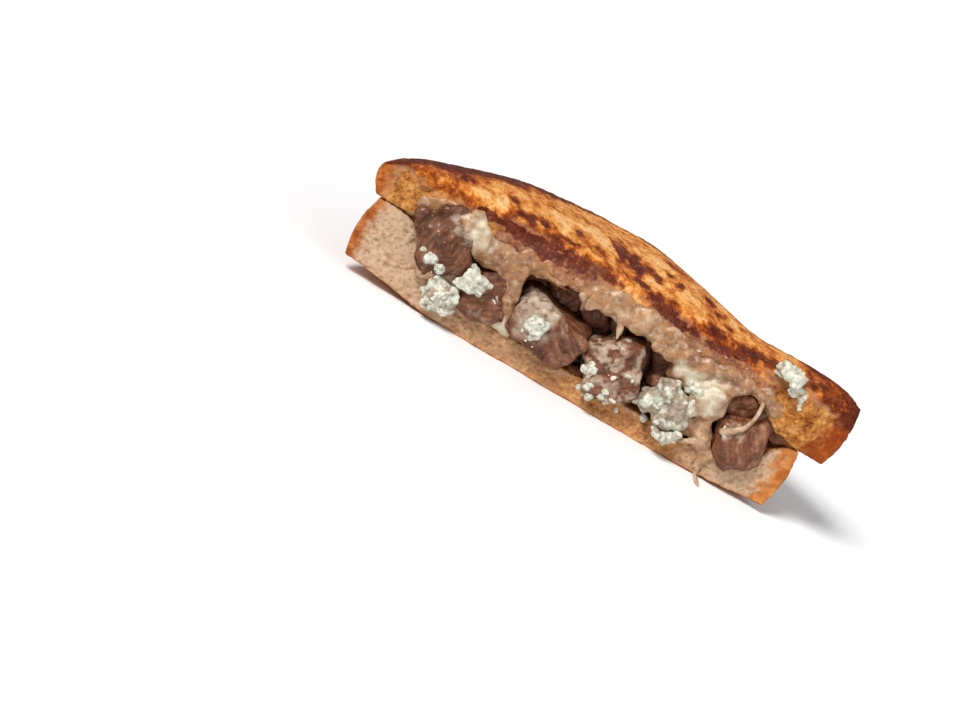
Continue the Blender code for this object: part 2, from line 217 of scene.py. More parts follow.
tooth, ins, outs = new_group(
    "tooth",
    [("Vector", VECTOR, None), ("Scale", FLOAT, 900.0), ("Depth", FLOAT, 0.0001),
     ("Strength", FLOAT, 0.5)],
    [("Normal", VECTOR)])
given = ins.outputs
coarse = cloudy(tooth, given["Vector"], given["Scale"], 5.0, 0.65)
fine = cloudy(tooth, given["Vector"], times(tooth, given["Scale"], 3.1), 2.0)
height = sums(tooth, "MULTIPLY_ADD", fine, 0.35, coarse)
bump = place(tooth, "ShaderNodeBump", {"Height": height, "Distance": given["Depth"],
                                       "Strength": given["Strength"]})
feed(tooth, outs.inputs["Normal"], bump.outputs["Normal"])


def patch(tree, where, scale, level, softness=0.05, detail=4.0):
    return place(tree, "ShaderNodeGroup", {
        "Vector": where, "Scale": scale, "Detail": detail, "Level": level, "Softness": softness,
    }, node_tree=blotches).outputs["Mask"]


def rough_to_touch(tree, where, scale, depth, strength):
    return place(tree, "ShaderNodeGroup", {
        "Vector": where, "Scale": scale, "Depth": depth, "Strength": strength,
    }, node_tree=tooth).outputs["Normal"]


def new_finish(name, specular=0.5):
    finish = bpy.data.materials.new(name)
    finish.use_nodes = True
    tree = finish.node_tree
    shader = tree.nodes["Principled BSDF"]
    shader.inputs["Specular IOR Level"].default_value = specular
    where = place(tree, "ShaderNodeTexCoord").outputs["Object"]
    return finish, tree, shader, where


print("groups:", [g.name for g in bpy.data.node_groups])

# %% [markdown]
# ## A skin fine enough to carry relief
# The solids have some fourteen thousand triangles in all, which is too coarse for pores.
# Subdividing them would keep their flat facets, so each one gets a fresh, even skin instead:
# its copy is merged, remeshed in small voxels and smoothed a little. The skin then stands in
# for the solid.

# %% Make an even skin over a solid
WELD = 0.00001  # metres


def ball_at(heap, middle, size):
    """A ball or egg in the heap, its middle and half sizes in mm."""
    at = Matrix.LocRotScale(Vector(middle) * MM, None, Vector(size) * MM)
    bmesh.ops.create_icosphere(heap, subdivisions=2, radius=1.0, matrix=at)


def even_skin(node, name, voxel, rounds=3, lumps=()):
    """The solid in an even skin. Lumps are balls that melt into it, as (middle, half sizes)."""
    copy = bmesh.new()
    copy.from_mesh(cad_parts[node].data)
    bmesh.ops.remove_doubles(copy, verts=copy.verts, dist=WELD)
    for middle, size in lumps:
        ball_at(copy, middle, size)
    return finer(copy, name, voxel, rounds)


def finer(shape, name, voxel, rounds):
    """The bmesh as an object with voxels of that size in mm, smoothed that many times."""
    piece = bpy.data.objects.new(name, bpy.data.meshes.new(name))
    bpy.context.scene.collection.objects.link(piece)
    shape.to_mesh(piece.data)
    shape.free()
    remesh = piece.modifiers.new("even", "REMESH")
    remesh.mode, remesh.voxel_size = "VOXEL", voxel * MM
    graph = bpy.context.evaluated_depsgraph_get()
    even = bpy.data.meshes.new_from_object(piece.evaluated_get(graph))
    piece.modifiers.clear()
    piece.data = even
    even.name = name
    skin = bmesh.new()
    skin.from_mesh(even)
    for _ in range(rounds):
        bmesh.ops.smooth_vert(skin, verts=skin.verts, factor=0.5, use_axis_x=True,
                              use_axis_y=True, use_axis_z=True)
    skin.to_mesh(even)
    skin.free()
    even.shade_smooth()
    return piece


def points_of(piece):
    """Its vertices in mm, and their normals."""
    mesh = piece.data
    spots = np.empty(len(mesh.vertices) * 3, np.float32)
    mesh.vertices.foreach_get("co", spots)
    facing = np.empty(len(mesh.vertices) * 3, np.float32)
    mesh.vertex_normals.foreach_get("vector", facing)
    return spots.reshape(-1, 3).astype(float) / MM, facing.reshape(-1, 3).astype(float)


def settle(piece, spots, margin=0.01):
    """The vertices move there, but stay that far in mm inside the solids' box."""
    low, high = (np.array(c) / MM for c in CAD_BOX)
    inside = np.clip(spots, low + margin, high - margin) * MM
    piece.data.vertices.foreach_set("co", inside.astype(np.float32).ravel())
    piece.data.update()


def paint(piece, name, values):
    """A mask that the materials read, one number a vertex."""
    layer = piece.data.attributes.new(name, "FLOAT", "POINT")
    layer.data.foreach_set("value", np.clip(values, 0.0, 1.0).astype(np.float32))


# %% [markdown]
# ## Patterns in space
# Relief and browning both come from noise, read at each vertex. Its grain is given in
# millimetres, because that is how a baker or cook would describe it. Pores are cells: round
# holes of about one size, each with its own place.

# %% Noise, cells and ramps
def rise(value, low, high):
    """0 below low, 1 above high, and smooth between them."""
    t = np.clip((value - low) / (high - low), 0.0, 1.0)
    return t * t * (3.0 - 2.0 * t)


def wave(spots, size, seed=0, stretch=(1.0, 1.0, 1.0), octaves=1):
    """Noise from about -1 to 1, with lumps of that size in mm."""
    scaled = (spots / (np.array(stretch) * size) + seed * 7.31).tolist()
    if octaves == 1:
        return np.array([noise.noise(p) for p in scaled]) * 1.3
    return np.array([noise.fractal(p, 0.9, 2.1, octaves) for p in scaled])


def cells(spots, size, seed=0, stretch=(1.0, 1.0, 1.0)):
    """How far each point is from the middle of its nearest cell, 0 to about 1."""
    scaled = (spots / (np.array(stretch) * size) + seed * 5.17).tolist()
    return np.array([noise.voronoi(p)[0][0] for p in scaled])


def nearness(spots, middle, reach, frayed=0.0, stretch=(1.0, 1.0, 1.0)):
    """1 at the middle and 0 at the reach, both in mm. Noise can fray that edge."""
    off = (spots - np.array(middle)) / stretch
    return 1.0 - np.linalg.norm(off, axis=1) / reach + frayed


# %% [markdown]
# ## The bread's regions
# One slice has four kinds of surface: the cut crumb, the loaf's crust, the toasted face and
# the hidden inner face. They meet in soft edges, so they are masks and not separate faces.
# Which is which follows from where a vertex looks. A search tree of the crust's vertices
# then says how far the crumb is from it, which places the thin crust line on the cut.

# %% Tell crumb, crust and toasted face apart
CORNER = np.array((0.0, 45.0))  # the loaf's corner in plan, and how its sides face
LEFT_CRUST, RIGHT_CRUST = np.array((-0.687, 0.727)), np.array((0.687, 0.727))


def crust_of(spots, facing):
    """What lies near one of the loaf's two crust sides and faces the way it does."""
    plan, turned = spots[:, :2] - CORNER, facing[:, :2]
    sideways = np.maximum(turned @ LEFT_CRUST, turned @ RIGHT_CRUST)
    near = np.maximum(plan @ LEFT_CRUST, plan @ RIGHT_CRUST)
    return rise(sideways, 0.4, 0.75) * rise(near, -11.0, -8.0)


def front_of(spots):
    """1 within about 5 mm of the cut, and 0 from about 9 mm on."""
    return rise(-spots[:, 1], 27.0, 31.0)


def distance_to(spots, chosen, wanted, furthest=20.0):
    """How far in mm each wanted vertex is from the nearest chosen one."""
    tree = KDTree(int(chosen.sum()))
    for index in np.flatnonzero(chosen):
        tree.insert(spots[index], int(index))
    tree.balance()
    away_by = np.full(len(spots), furthest)
    for index in np.flatnonzero(wanted):
        away_by[index] = min(furthest, tree.find(spots[index])[2])
    return away_by


# %% [markdown]
# ## Scorched patches
# Bread on a hot plate scorches where it is pressed hardest: along the bulge of the filling
# and at its edges. Each patch is a place, a half length along the cut, a half width and a
# strength, and noise frays its outline. They run along the edge, because the slice bends
# there.

# %% Where the top scorched
SCORCHED = [
    ((-50.5, -35.2, 38.6), 4.6, 1.8, 0.95), ((-41.0, -35.2, 38.8), 8.0, 2.4, 1.0),
    ((-30.0, -35.4, 38.6), 10.0, 3.2, 1.1), ((-18.0, -34.8, 39.6), 8.5, 2.4, 0.95),
    ((-7.5, -33.4, 40.8), 5.0, 1.8, 0.7), ((-39.0, -29.6, 43.0), 5.0, 1.3, 1.0),
    ((-33.0, -27.0, 43.6), 3.6, 1.3, 1.0), ((-43.5, -23.0, 43.9), 1.7, 1.3, 0.85),
    ((-20.0, -18.9, 44.6), 2.0, 1.6, 0.75), ((-21.5, -29.5, 43.2), 3.6, 1.4, 0.8),
    ((-25.5, -34.2, 41.2), 5.0, 1.6, 0.95),
    ((-13.5, -24.0, 44.2), 4.0, 1.6, 0.6), ((-3.0, -8.0, 44.2), 3.6, 3.6, 1.2),
    ((2.2, -13.0, 44.0), 3.6, 3.4, 1.2), ((8.4, -10.0, 44.4), 2.0, 2.0, 0.75),
    ((3.8, -27.0, 43.4), 4.4, 1.5, 0.8), ((10.3, -14.2, 44.4), 1.6, 1.5, 0.95),
    ((16.0, -6.2, 45.2), 1.5, 1.3, 0.8), ((19.0, -13.6, 45.4), 1.3, 1.3, 0.9),
    ((9.0, -31.6, 42.6), 5.0, 1.5, 0.85), ((14.2, -33.4, 41.8), 4.8, 1.8, 1.0),
    ((20.8, -34.6, 40.2), 5.8, 2.0, 1.0), ((30.4, -9.6, 45.6), 2.2, 1.5, 1.0),
    ((33.6, -17.6, 45.2), 1.7, 1.0, 0.85), ((37.4, -23.0, 44.8), 1.7, 1.2, 0.9),
    ((30.8, -31.6, 42.8), 3.8, 1.7, 1.1),
    ((35.0, -34.6, 39.8), 5.0, 1.3, 1.0), ((41.4, -33.6, 41.2), 5.5, 1.3, 1.1),
    ((46.0, -30.8, 42.9), 5.5, 1.6, 1.1), ((54.0, -29.4, 43.6), 4.5, 1.0, 0.75),
    ((58.0, -36.2, 38.6), 3.4, 1.7, 0.55), ((72.0, -36.0, 37.4), 1.3, 0.8, 0.6),
    ((-30.0, -4.0, 46.0), 3.0, 1.8, 0.6), ((22.0, 12.0, 47.0), 5.0, 3.0, 0.7),
    ((-4.0, 22.0, 47.0), 5.0, 3.0, 0.7), ((-60.0, -26.0, 44.0), 2.4, 1.3, 0.5),
    ((0.0, 8.0, 47.0), 3.0, 2.6, 0.6), ((40.0, 2.0, 47.0), 3.6, 2.4, 0.6),
]
PALE_TOAST_AND_HIGHLIGHTS = [  # places that the plate hardly touched, with painted highlights, as (middle, reach)
    ((-54.0, -33.0, 41.6), 7.0), ((-50.0, -31.0, 42.4), 7.0), ((-12.0, -12.0, 44.6), 10.0),
    ((-25.0, -12.0, 44.0), 7.0), ((10.0, 2.0, 44.0), 9.0), ((22.0, -18.0, 45.0), 6.0),
    ((40.0, -22.0, 44.0), 8.0), ((8.0, -22.0, 44.0), 4.0),
]
SCORCHED_BELOW = [
    ((-38.0, -22.0, 0.0), 9.0, 3.4, 0.9), ((-6.0, -30.0, 0.0), 14.0, 2.8, 1.0),
    ((26.0, -14.0, 0.0), 8.0, 5.0, 0.85), ((4.0, 12.0, 0.0), 10.0, 6.0, 0.9),
    ((52.0, -26.0, 0.0), 7.0, 3.0, 0.8), ((-18.0, 2.0, 0.0), 4.0, 3.0, 0.7),
]


def scorch(spots, patches):
    frayed = 0.45 * wave(spots, 2.4, 3, (1.0, 2.2, 1.0)) + 0.2 * wave(spots, 1.1, 4)
    most = np.zeros(len(spots))
    for middle, half_length, half_width, strength in patches:
        off = spots - np.array(middle)
        reach = np.sqrt((off[:, 0] / half_length) ** 2
                        + (0.25 * off[:, 1] ** 2 + off[:, 2] ** 2) / half_width ** 2)
        most = np.maximum(most, strength * rise(1.0 - reach + frayed, -0.35, 0.6))
    return most


print("scorched patches:", len(SCORCHED), "above and", len(SCORCHED_BELOW), "below")

# %% [markdown]
# ## Dressing a slice
# The crumb gets pores in two sizes, a little flat because the bread was pressed. The
# toasted face is pan-flattened: shallow plates with pits between them. The crust has fine
# wrinkles. Relief goes mostly inwards, since a solid already has the slice's full size.

# %% Shape crumb, toast and crust
PRESSED = (1.0, 1.0, 0.8)  # how pores and plates are stretched along x, y and z
DRAWN_BACK = (1.0, 1.5, 1.0)


def crumb_relief(spots):
    """Depths in mm, and the large and small pores as masks."""
    large = rise(0.42 - cells(spots, 3.0, 1, PRESSED), 0.0, 0.2) * rise(
        wave(spots, 7.0, 11), -0.3, 0.4)
    small = rise(0.44 - cells(spots, 1.5, 2, PRESSED), 0.0, 0.22)
    depth = 0.5 * large + 0.3 * small + 0.3 * wave(spots, 5.0, 5) + 0.16 * wave(spots, 1.5, 7)
    return depth, large, small


def toast_relief(spots):
    """Depths in mm, and the pits as a mask."""
    plates = np.abs(wave(spots, 3.0, 21, DRAWN_BACK))
    pits = rise(0.3 - cells(spots, 2.2, 8, DRAWN_BACK), 0.0, 0.16) * rise(
        wave(spots, 9.0, 13), 0.0, 0.6)
    return 0.26 * plates + 0.2 * pits + 0.1 * wave(spots, 1.4, 22), pits


def crust_relief(spots):
    return 0.16 * np.abs(wave(spots, 2.4, 31)) + 0.08 * wave(spots, 1.0, 32)


# %% Give a slice its relief and masks
BREAD_VOXEL = 0.55


def dress_slice(node, name, toast_up, patches, crust_width, toast_edge):
    """crust_width and toast_edge give values in mm for the x of each vertex."""
    piece = even_skin(node, name, BREAD_VOXEL)
    spots, facing = points_of(piece)
    crust = crust_of(spots, facing)
    front = front_of(spots)
    cut = rise(-facing[:, 1], 0.5, 0.8) * front * (1.0 - crust)
    toast = rise(facing[:, 2] * toast_up, 0.25, 0.6)
    over = (spots[:, 2] - toast_edge(spots[:, 0])) * toast_up + 1.3 * wave(spots, 3.0, 6)
    toast = np.maximum(toast, rise(over, -1.2, 1.4) * front) * (1.0 - crust)
    cut *= 1.0 - toast
    from_crust = distance_to(spots, crust > 0.5, crust <= 0.5)

    crumb_depth, large, small = crumb_relief(spots)
    toast_depth, pits = toast_relief(spots)
    depth = cut * crumb_depth + toast * toast_depth + crust * crust_relief(spots)
    hidden = 1.0 - np.clip(cut + toast + crust, 0.0, 1.0)
    depth += hidden * (0.4 * small + 0.2 * wave(spots, 2.5, 41))

    paint(piece, "crust", crust)
    paint(piece, "toast", toast)
    # The pores' mask also darkens the crumb inside them, a painted shade.
    paint(piece, "pore_shade", np.maximum(large, 0.75 * small) * cut)
    paint(piece, "pits", pits * toast)
    frayed = from_crust / crust_width(spots[:, 0]) + 0.45 * wave(spots, 2.4, 51, octaves=3)
    paint(piece, "crust_line", (1.0 - rise(frayed, 0.45, 1.25)) * (1.0 - crust))
    paint(piece, "scorch", scorch(spots, patches) * (1.0 - 0.4 * crust))
    return piece, spots, facing, depth, from_crust, cut, crust


def line(*stops):
    """A value that changes along the cut, from pairs of x in mm and the value there."""
    return lambda x: np.interp(x, [a for a, _ in stops], [b for _, b in stops])


# %% [markdown]
# ## The bottom slice
# Pale crumb at both ends, and a golden, greasy lower edge in the middle, where the filling's
# juices ran out and the plate fried them. The mask for that soaking follows the cut's length.

# %% Dress the bottom slice
bottom, spots, facing, depth, from_crust, cut, _ = dress_slice(
    "bottom_slice", "bottom_slice_bread", -1.0, SCORCHED_BELOW,
    line((-80.0, 3.4), (0.0, 2.6), (50.0, 2.0), (66.0, 6.5)),
    line((-80.0, 1.0), (0.0, 0.4), (80.0, 0.6)))
along = spots[:, 0]
soaked = 1.0 - rise(np.abs(along - 3.0) + 6.0 * wave(spots, 6.0, 61), 36.0, 50.0)
soaked *= rise(9.0 - spots[:, 2] + 2.5 * wave(spots, 5.0, 62), -2.5, 3.0)
inner = rise(facing[:, 2], 0.2, 0.6)
under_filling = rise(60.0 - np.abs(along), 0.0, 18.0)
right_end = rise(along, 52.0, 58.0) * rise(spots[:, 1], -35.5, -33.5)
paint(bottom, "soaked", np.maximum((0.45 + 0.35 * rise(along, -22.0, 4.0)) * soaked * cut,
                                   0.9 * inner * np.maximum(under_filling, right_end)))
depth += cut * soaked * (0.5 * np.abs(wave(spots, 2.6, 74)) + 0.25 * wave(spots, 1.2, 75))
browned = 0.42 + 0.2 * wave(spots, 15.0, 71, octaves=3) + 0.12 * wave(spots, 4.0, 72)
browned += 0.3 * (1.0 - rise(from_crust + wave(spots, 3.0, 73), 0.5, 5.0))
paint(bottom, "browned", browned)
for mask in ("cheesed", "bits", "tanned", "ruddy"):
    paint(bottom, mask, np.zeros(len(spots)))
spots = spots - facing * depth[:, None]
raised_tips = 1.6 * rise(spots[:, 0], 68.0, 76.0) + 0.9 * rise(-spots[:, 0], 66.0, 72.0)
spots[:, 2] += rise(facing[:, 2], 0.0, 0.5) * raised_tips
settle(bottom, spots)
print("bottom slice:", len(bottom.data.polygons), "faces")

# %% [markdown]
# ## The top slice
# Its front edge isn't bare crumb. Cheese boiled out there and set on it as a glossy band,
# pinkish tan with creamy bits, and the toast rolls down over it. The band is the same skin,
# pushed out in smooth lumps, so that it clings as a film does.

# %% Start the top slice and push out its cheese band
top, spots, facing, depth, from_crust, cut, crust = dress_slice(
    "top_slice", "top_slice_bread", 1.0, SCORCHED,
    line((-86.0, 6.4), (-76.0, 3.2), (0.0, 2.0), (55.0, 3.0), (78.0, 9.0)),
    line((-87.0, 35.5), (-82.0, 38.0), (-76.5, 38.0), (-71.2, 36.5), (-64.6, 35.6),
         (-60.7, 36.9), (-56.7, 38.1), (-48.0, 38.0), (-40.0, 41.5), (50.0, 42.5),
         (64.0, 43.6), (74.0, 42.0), (84.0, 39.0)))
along = spots[:, 0]
BAND_TOP = 39.8
band_top = BAND_TOP + 1.2 * wave(spots, 7.0, 81) + 0.5 * wave(spots, 2.0, 82)
band_top -= 1.6 * (1.0 - rise(np.abs(along + 40.0), 5.0, 11.0))
cheesed = rise(band_top - spots[:, 2], -1.1, 1.4) * rise(-spots[:, 1], 26.0, 31.0)
cheesed *= rise(along + 3.0 * wave(spots, 4.0, 83), -50.0, -43.0)
cheesed *= 1.0 - rise(along + 3.0 * wave(spots, 4.0, 84), 50.0, 60.0)
bits = cheesed * rise(wave(spots, 2.6, 85, octaves=2), 0.5, 0.66) * rise(along, -16.0, -4.0)
lumps = 0.3 + 0.55 * wave(spots, 4.2, 86) + 0.2 * wave(spots, 1.7, 87) + 0.4 * bits
depth = depth * (1.0 - cheesed) - cheesed * lumps
paint(top, "cheesed", cheesed)
paint(top, "bits", bits)
print("cheese band on", round(100.0 * cheesed.mean()), "percent of the slice")

# %% Soak and tan its front edge
HOLE, HOLE_SIZE = (-70.8, -36.0, 35.2), (2.6, 2.5, 1.5)
hole = rise(nearness(spots, HOLE, 1.0, 0.25 * wave(spots, 1.2, 89), HOLE_SIZE), 0.0, 0.5)
depth += 1.6 * hole * front_of(spots)
oozed = rise(along + 4.0 * wave(spots, 5.0, 88), 44.0, 54.0) * cut
depth += oozed * (0.5 * wave(spots, 5.5, 95) + 0.25 * wave(spots, 2.2, 96))
soaked = np.maximum(oozed, (0.35 + 0.65 * rise(along, -85.0, -78.0)) * cut)
soaked = np.maximum(soaked, (1.0 - rise(facing[:, 2], -0.5, -0.1)) * (1.0 - crust) * 0.8)
paint(top, "soaked", soaked)
TANNED = line((-52.0, 0.5), (-40.0, 0.9), (-14.0, 1.0), (-8.0, 0.3), (14.0, 0.15), (21.0, 0.6),
              (30.0, 0.95), (50.0, 0.9), (58.0, 1.1))
tanned = TANNED(along) + 0.5 * wave(spots, 4.0, 97) + 0.3 * rise(spots[:, 2], 37.0, 39.5)
paint(top, "tanned", tanned)
paint(top, "ruddy", rise(along, 58.0, 70.0) * front_of(spots))
print("soaked:", round(100.0 * soaked.mean()), "percent of the slice")

# %% Brown its toasted face
browned = 0.32 + 0.24 * wave(spots, 12.0, 91, (1.0, 2.0, 1.0), 3)
browned += 0.2 * wave(spots, 3.2, 92, (1.0, 2.2, 1.0))
# Towards the left end the toast is browned darker: partly real toasting and partly a painted
# shade.
browned += 0.28 * rise(-along, 40.0, 70.0) + 0.08 * rise(along, 20.0, 60.0)
browned += 0.2 * rise(along, 54.0, 68.0) * rise(-spots[:, 1], 25.0, 33.0)
browned += 0.25 * rise(along + 3.0 * wave(spots, 5.0, 90), 64.0, 74.0)
rim = line((-86.0, 6.0), (-62.0, 9.5), (-44.0, 12.0), (-22.0, 10.0), (0.0, 6.0), (30.0, 4.0),
           (84.0, 3.0))(along)
uneven = 1.0 - 0.75 * rise(wave(spots, 9.0, 99, octaves=2), 0.0, 0.7) * rise(
    spots[:, 1], -30.0, -16.0)
browned += 0.56 * uneven * (
    1.0 - rise(from_crust + 1.6 * wave(spots, 3.6, 93), rim - 4.0, rim + 0.8))
browned += 0.3 * uneven * (
    1.0 - rise(from_crust + 3.0 * wave(spots, 7.0, 98), 0.8 * rim, 1.6 * rim))
frayed = 0.35 * wave(spots, 4.0, 94)
# The toast is paler there: partly less toasted and partly a painted highlight.
for middle, reach in PALE_TOAST_AND_HIGHLIGHTS:
    browned -= 0.3 * rise(nearness(spots, middle, reach, frayed, (1.0, 1.3, 1.0)), 0.0, 0.8)
halos = [(middle, 1.4 * length, 1.8 * width, strength)
         for middle, length, width, strength in SCORCHED]
browned += 0.45 * scorch(spots - np.array((0.0, 0.0, 0.4)), halos)
paint(top, "browned", browned)
spots = spots - facing * depth[:, None]
spots[:, 2] -= 1.2 * rise(along, 68.0, 76.0) * rise(-facing[:, 2], 0.0, 0.5)
settle(top, spots)
print("top slice:", len(top.data.polygons), "faces")

# %% [markdown]
# ## Toasted bread
# One material serves both slices, because the same loaf and the same hot plate made them. It
# starts as crumb, then lays the crust line, the toast and the scorching over it by the
# painted masks. Fine clouds break each mask up, so no edge is a clean line. Melted fat makes
# the toast glossier than the crumb, and the cheese band is the glossiest of all.

# %% Name the bread's colours, as the stops of its ramps
CRUMB = ((0.28, (0.42, 0.25, 0.14)), (0.48, (0.53, 0.345, 0.21)), (0.7, (0.65, 0.47, 0.315)))
SOAKED = ((0.38, (0.17, 0.038, 0.006)), (0.46, (0.37, 0.125, 0.022)),
          (0.55, (0.54, 0.24, 0.060)), (0.64, (0.68, 0.39, 0.15)))
CRUST = ((0.3, (0.17, 0.034, 0.006)), (0.5, (0.38, 0.10, 0.017)), (0.7, (0.60, 0.21, 0.05)))
PALE_CRUST = ((0.35, (0.42, 0.11, 0.016)), (0.6, (0.72, 0.30, 0.085)))
TOAST = ((0.0, (0.80, 0.47, 0.20)), (0.2, (0.76, 0.35, 0.088)), (0.42, (0.60, 0.19, 0.028)),
         (0.62, (0.37, 0.078, 0.009)), (0.82, (0.16, 0.028, 0.006)),
         (1.0, (0.075, 0.012, 0.004)))
TOAST_SPECKS = ((0.1, (0.52, 0.17, 0.030)), (0.6, (0.17, 0.032, 0.007)))
BAND = ((0.3, (0.27, 0.115, 0.050)), (0.5, (0.42, 0.225, 0.11)), (0.68, (0.60, 0.41, 0.25)))
TANNED_BAND = ((0.40, (0.13, 0.036, 0.014)), (0.5, (0.26, 0.085, 0.030)),
               (0.60, (0.42, 0.17, 0.066)))
CHAR = ((0.38, (0.045, 0.006, 0.002)), (0.49, (0.10, 0.016, 0.006)),
        (0.57, (0.16, 0.036, 0.016)), (0.66, (0.28, 0.10, 0.060)))
print("toast browns from", TOAST[0][1], "to", TOAST[-1][1])

# %% Mix the crumb and the crust
bread_finish, tree, shader, where = new_finish("toasted_bread", 0.1)
mottled = cloudy(tree, where, 900.0, 6.0, 0.7)
broad = cloudy(tree, where, 210.0, 5.0, 0.62)
drawn = place(tree, "ShaderNodeMapping", {"Vector": where, "Scale": (1.0, 0.62, 1.0)})
drawn = drawn.outputs["Vector"]
streaks = cloudy(tree, drawn, 420.0, 6.0, 0.7)
soaking = times(tree, plus(tree, broad, mottled), 0.5)
crumb_colour = tint(tree, painted(tree, "soaked"), ramp_of(tree, mottled, *CRUMB),
                    ramp_of(tree, soaking, *SOAKED))
# Painted shade: the crumb is darker inside its pores.
crumb_colour = tint(tree, painted(tree, "pore_shade", 0.42), crumb_colour, colour(0.34, 0.17, 0.08),
                    "MULTIPLY")
axes = place(tree, "ShaderNodeSeparateXYZ", {"Vector": where}).outputs
low_right = sums(tree, "SUBTRACT", axes["X"], times(tree, axes["Z"], 1.6))
low_right = soft_step(tree, low_right, 0.03, 0.045, 0.7, "LINEAR")
crust_colour = tint(tree, low_right, ramp_of(tree, streaks, *CRUST),
                    ramp_of(tree, broad, *PALE_CRUST))
crust_colour = tint(tree, painted(tree, "ruddy"), crust_colour, colour(0.66, 0.42, 0.28),
                    "MULTIPLY")
print("crumb and crust:", len(tree.nodes), "nodes")

# %% Brown the toast
# The pits add to the browning, so the toast is darker in them: a painted shade.
browning = plus(tree, painted(tree, "browned"), swing(tree, streaks, 1.5),
                swing(tree, mottled, 0.9), painted(tree, "pits", 0.3))
toast_colour = ramp_of(tree, browning, *TOAST)
for scale, level, amount in ((430.0, 0.58, 0.6), (1000.0, 0.59, 0.55)):
    specks = times(tree, patch(tree, drawn, scale, level, 0.035), amount)
    toast_colour = tint(tree, specks, toast_colour, ramp_of(tree, browning, *TOAST_SPECKS))
print("with the toast:", len(tree.nodes), "nodes")

# %% Lay crust, toast, cheese band and char over the crumb
bread = tint(tree, painted(tree, "crust_line"), crumb_colour, crust_colour)
bread = tint(tree, painted(tree, "crust"), bread, crust_colour)
bread = tint(tree, painted(tree, "toast"), bread, toast_colour)
band = tint(tree, soft_step(tree, broad, 0.48, 0.6, 0.6, "LINEAR"),
            ramp_of(tree, mottled, *BAND), colour(0.50, 0.25, 0.10))
band = tint(tree, painted(tree, "tanned", 0.95), band, ramp_of(tree, soaking, *TANNED_BAND))
band = tint(tree, painted(tree, "bits"), band, colour(0.70, 0.58, 0.43))
banded = plus(tree, painted(tree, "cheesed"), swing(tree, soaking, 1.6))
bread = tint(tree, soft_step(tree, banded, 0.3, 0.6), bread, band)
charred = plus(tree, painted(tree, "scorch"), swing(tree, soaking, 2.6))
bread = tint(tree, soft_step(tree, charred, 0.36, 0.72), bread, ramp_of(tree, soaking, *CHAR))
feed(tree, shader.inputs["Base Color"], bread)
print("with the band and the char:", len(tree.nodes), "nodes")

# %% Give the bread its gloss, and the slices their finish
gloss = plus(tree, painted(tree, "cheesed", -0.4), painted(tree, "toast", -0.16),
             painted(tree, "soaked", -0.2))
feed(tree, shader.inputs["Roughness"], sums(tree, "ADD", gloss, 0.74, clamp=True))
feed(tree, shader.inputs["Coat Weight"], painted(tree, "cheesed", 0.4))
shader.inputs["Coat Roughness"].default_value = 0.18
feed(tree, shader.inputs["Normal"], rough_to_touch(tree, where, 800.0, 0.0006, 0.8))
for slice_piece, node in ((bottom, "bottom_slice"), (top, "top_slice")):
    slice_piece.data.materials.append(bread_finish)
    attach(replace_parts(slice_piece, node), "root")
print("bread finish:", len(tree.nodes), "nodes")

# %% [markdown]
# ## Pieces of steak
# Cooked steak tears along its fibres and cracks across them, and its faces stay rounded but
# flat. Each piece has its own grain, since the knife met each one its own way. Long thin
# noise makes the fibres, a narrow valley in slower noise makes the cracks, and a whitish
# film of fat lies on those that cheese and juices ran over.

# %% Give each piece of steak its grain
GRAIN = {  # the fibres' direction, and how much film lies on the piece
    "steak_1": ((0.25, 0.1, 1.0), 0.6), "steak_2": ((0.9, 0.2, 0.45), 0.15),
    "steak_3": ((0.8, 0.1, -0.6), 1.0), "steak_4": ((0.5, 0.6, 0.6), 0.15),
    "steak_5": ((-0.4, 0.5, 0.8), 0.15), "steak_6": ((0.7, 0.3, 0.7), 0.4),
    "steak_7": ((0.9, 0.2, 0.5), 0.54), "steak_8": ((0.2, 0.8, 0.6), 0.15),
    "steak_9": ((0.9, 0.3, 0.2), 0.2), "steak_10": ((0.3, 0.6, 0.8), 0.1),
    "steak_11": ((-0.55, 0.2, 0.8), 0.6),
}
FILM_AT = {  # the film's middle in mm and its reach, for pieces that it covers in part
    "steak_1": ((-54.5, -40.0, 33.0), 6.5), "steak_3": ((-21.5, -39.0, 21.5), 11.0),
    "steak_11": ((53.0, -41.0, 21.0), 5.0),
}
CRUMBS_ON_IT = {  # blue cheese that stuck to it
    "steak_1": [((-58.6, -40.5, 18.6), 2.3), ((-54.6, -40.9, 17.0), 1.9)],
}
DARKER = {  # how much darker each piece is made
    "steak_1": 0.5, "steak_2": 0.2, "steak_7": 0.25, "steak_3": 0.15,
}
STEAK_VOXEL = 0.42
WORN_SMOOTH = {"steak_2": (45, 1.8)}  # rounds of smoothing, and how strong its relief is


def along_fibres(spots, fibre):
    """The same points in axes that run along and across the fibres."""
    turn = Vector(fibre).normalized().to_track_quat("Z", "Y").to_matrix()
    return spots @ np.array(turn)


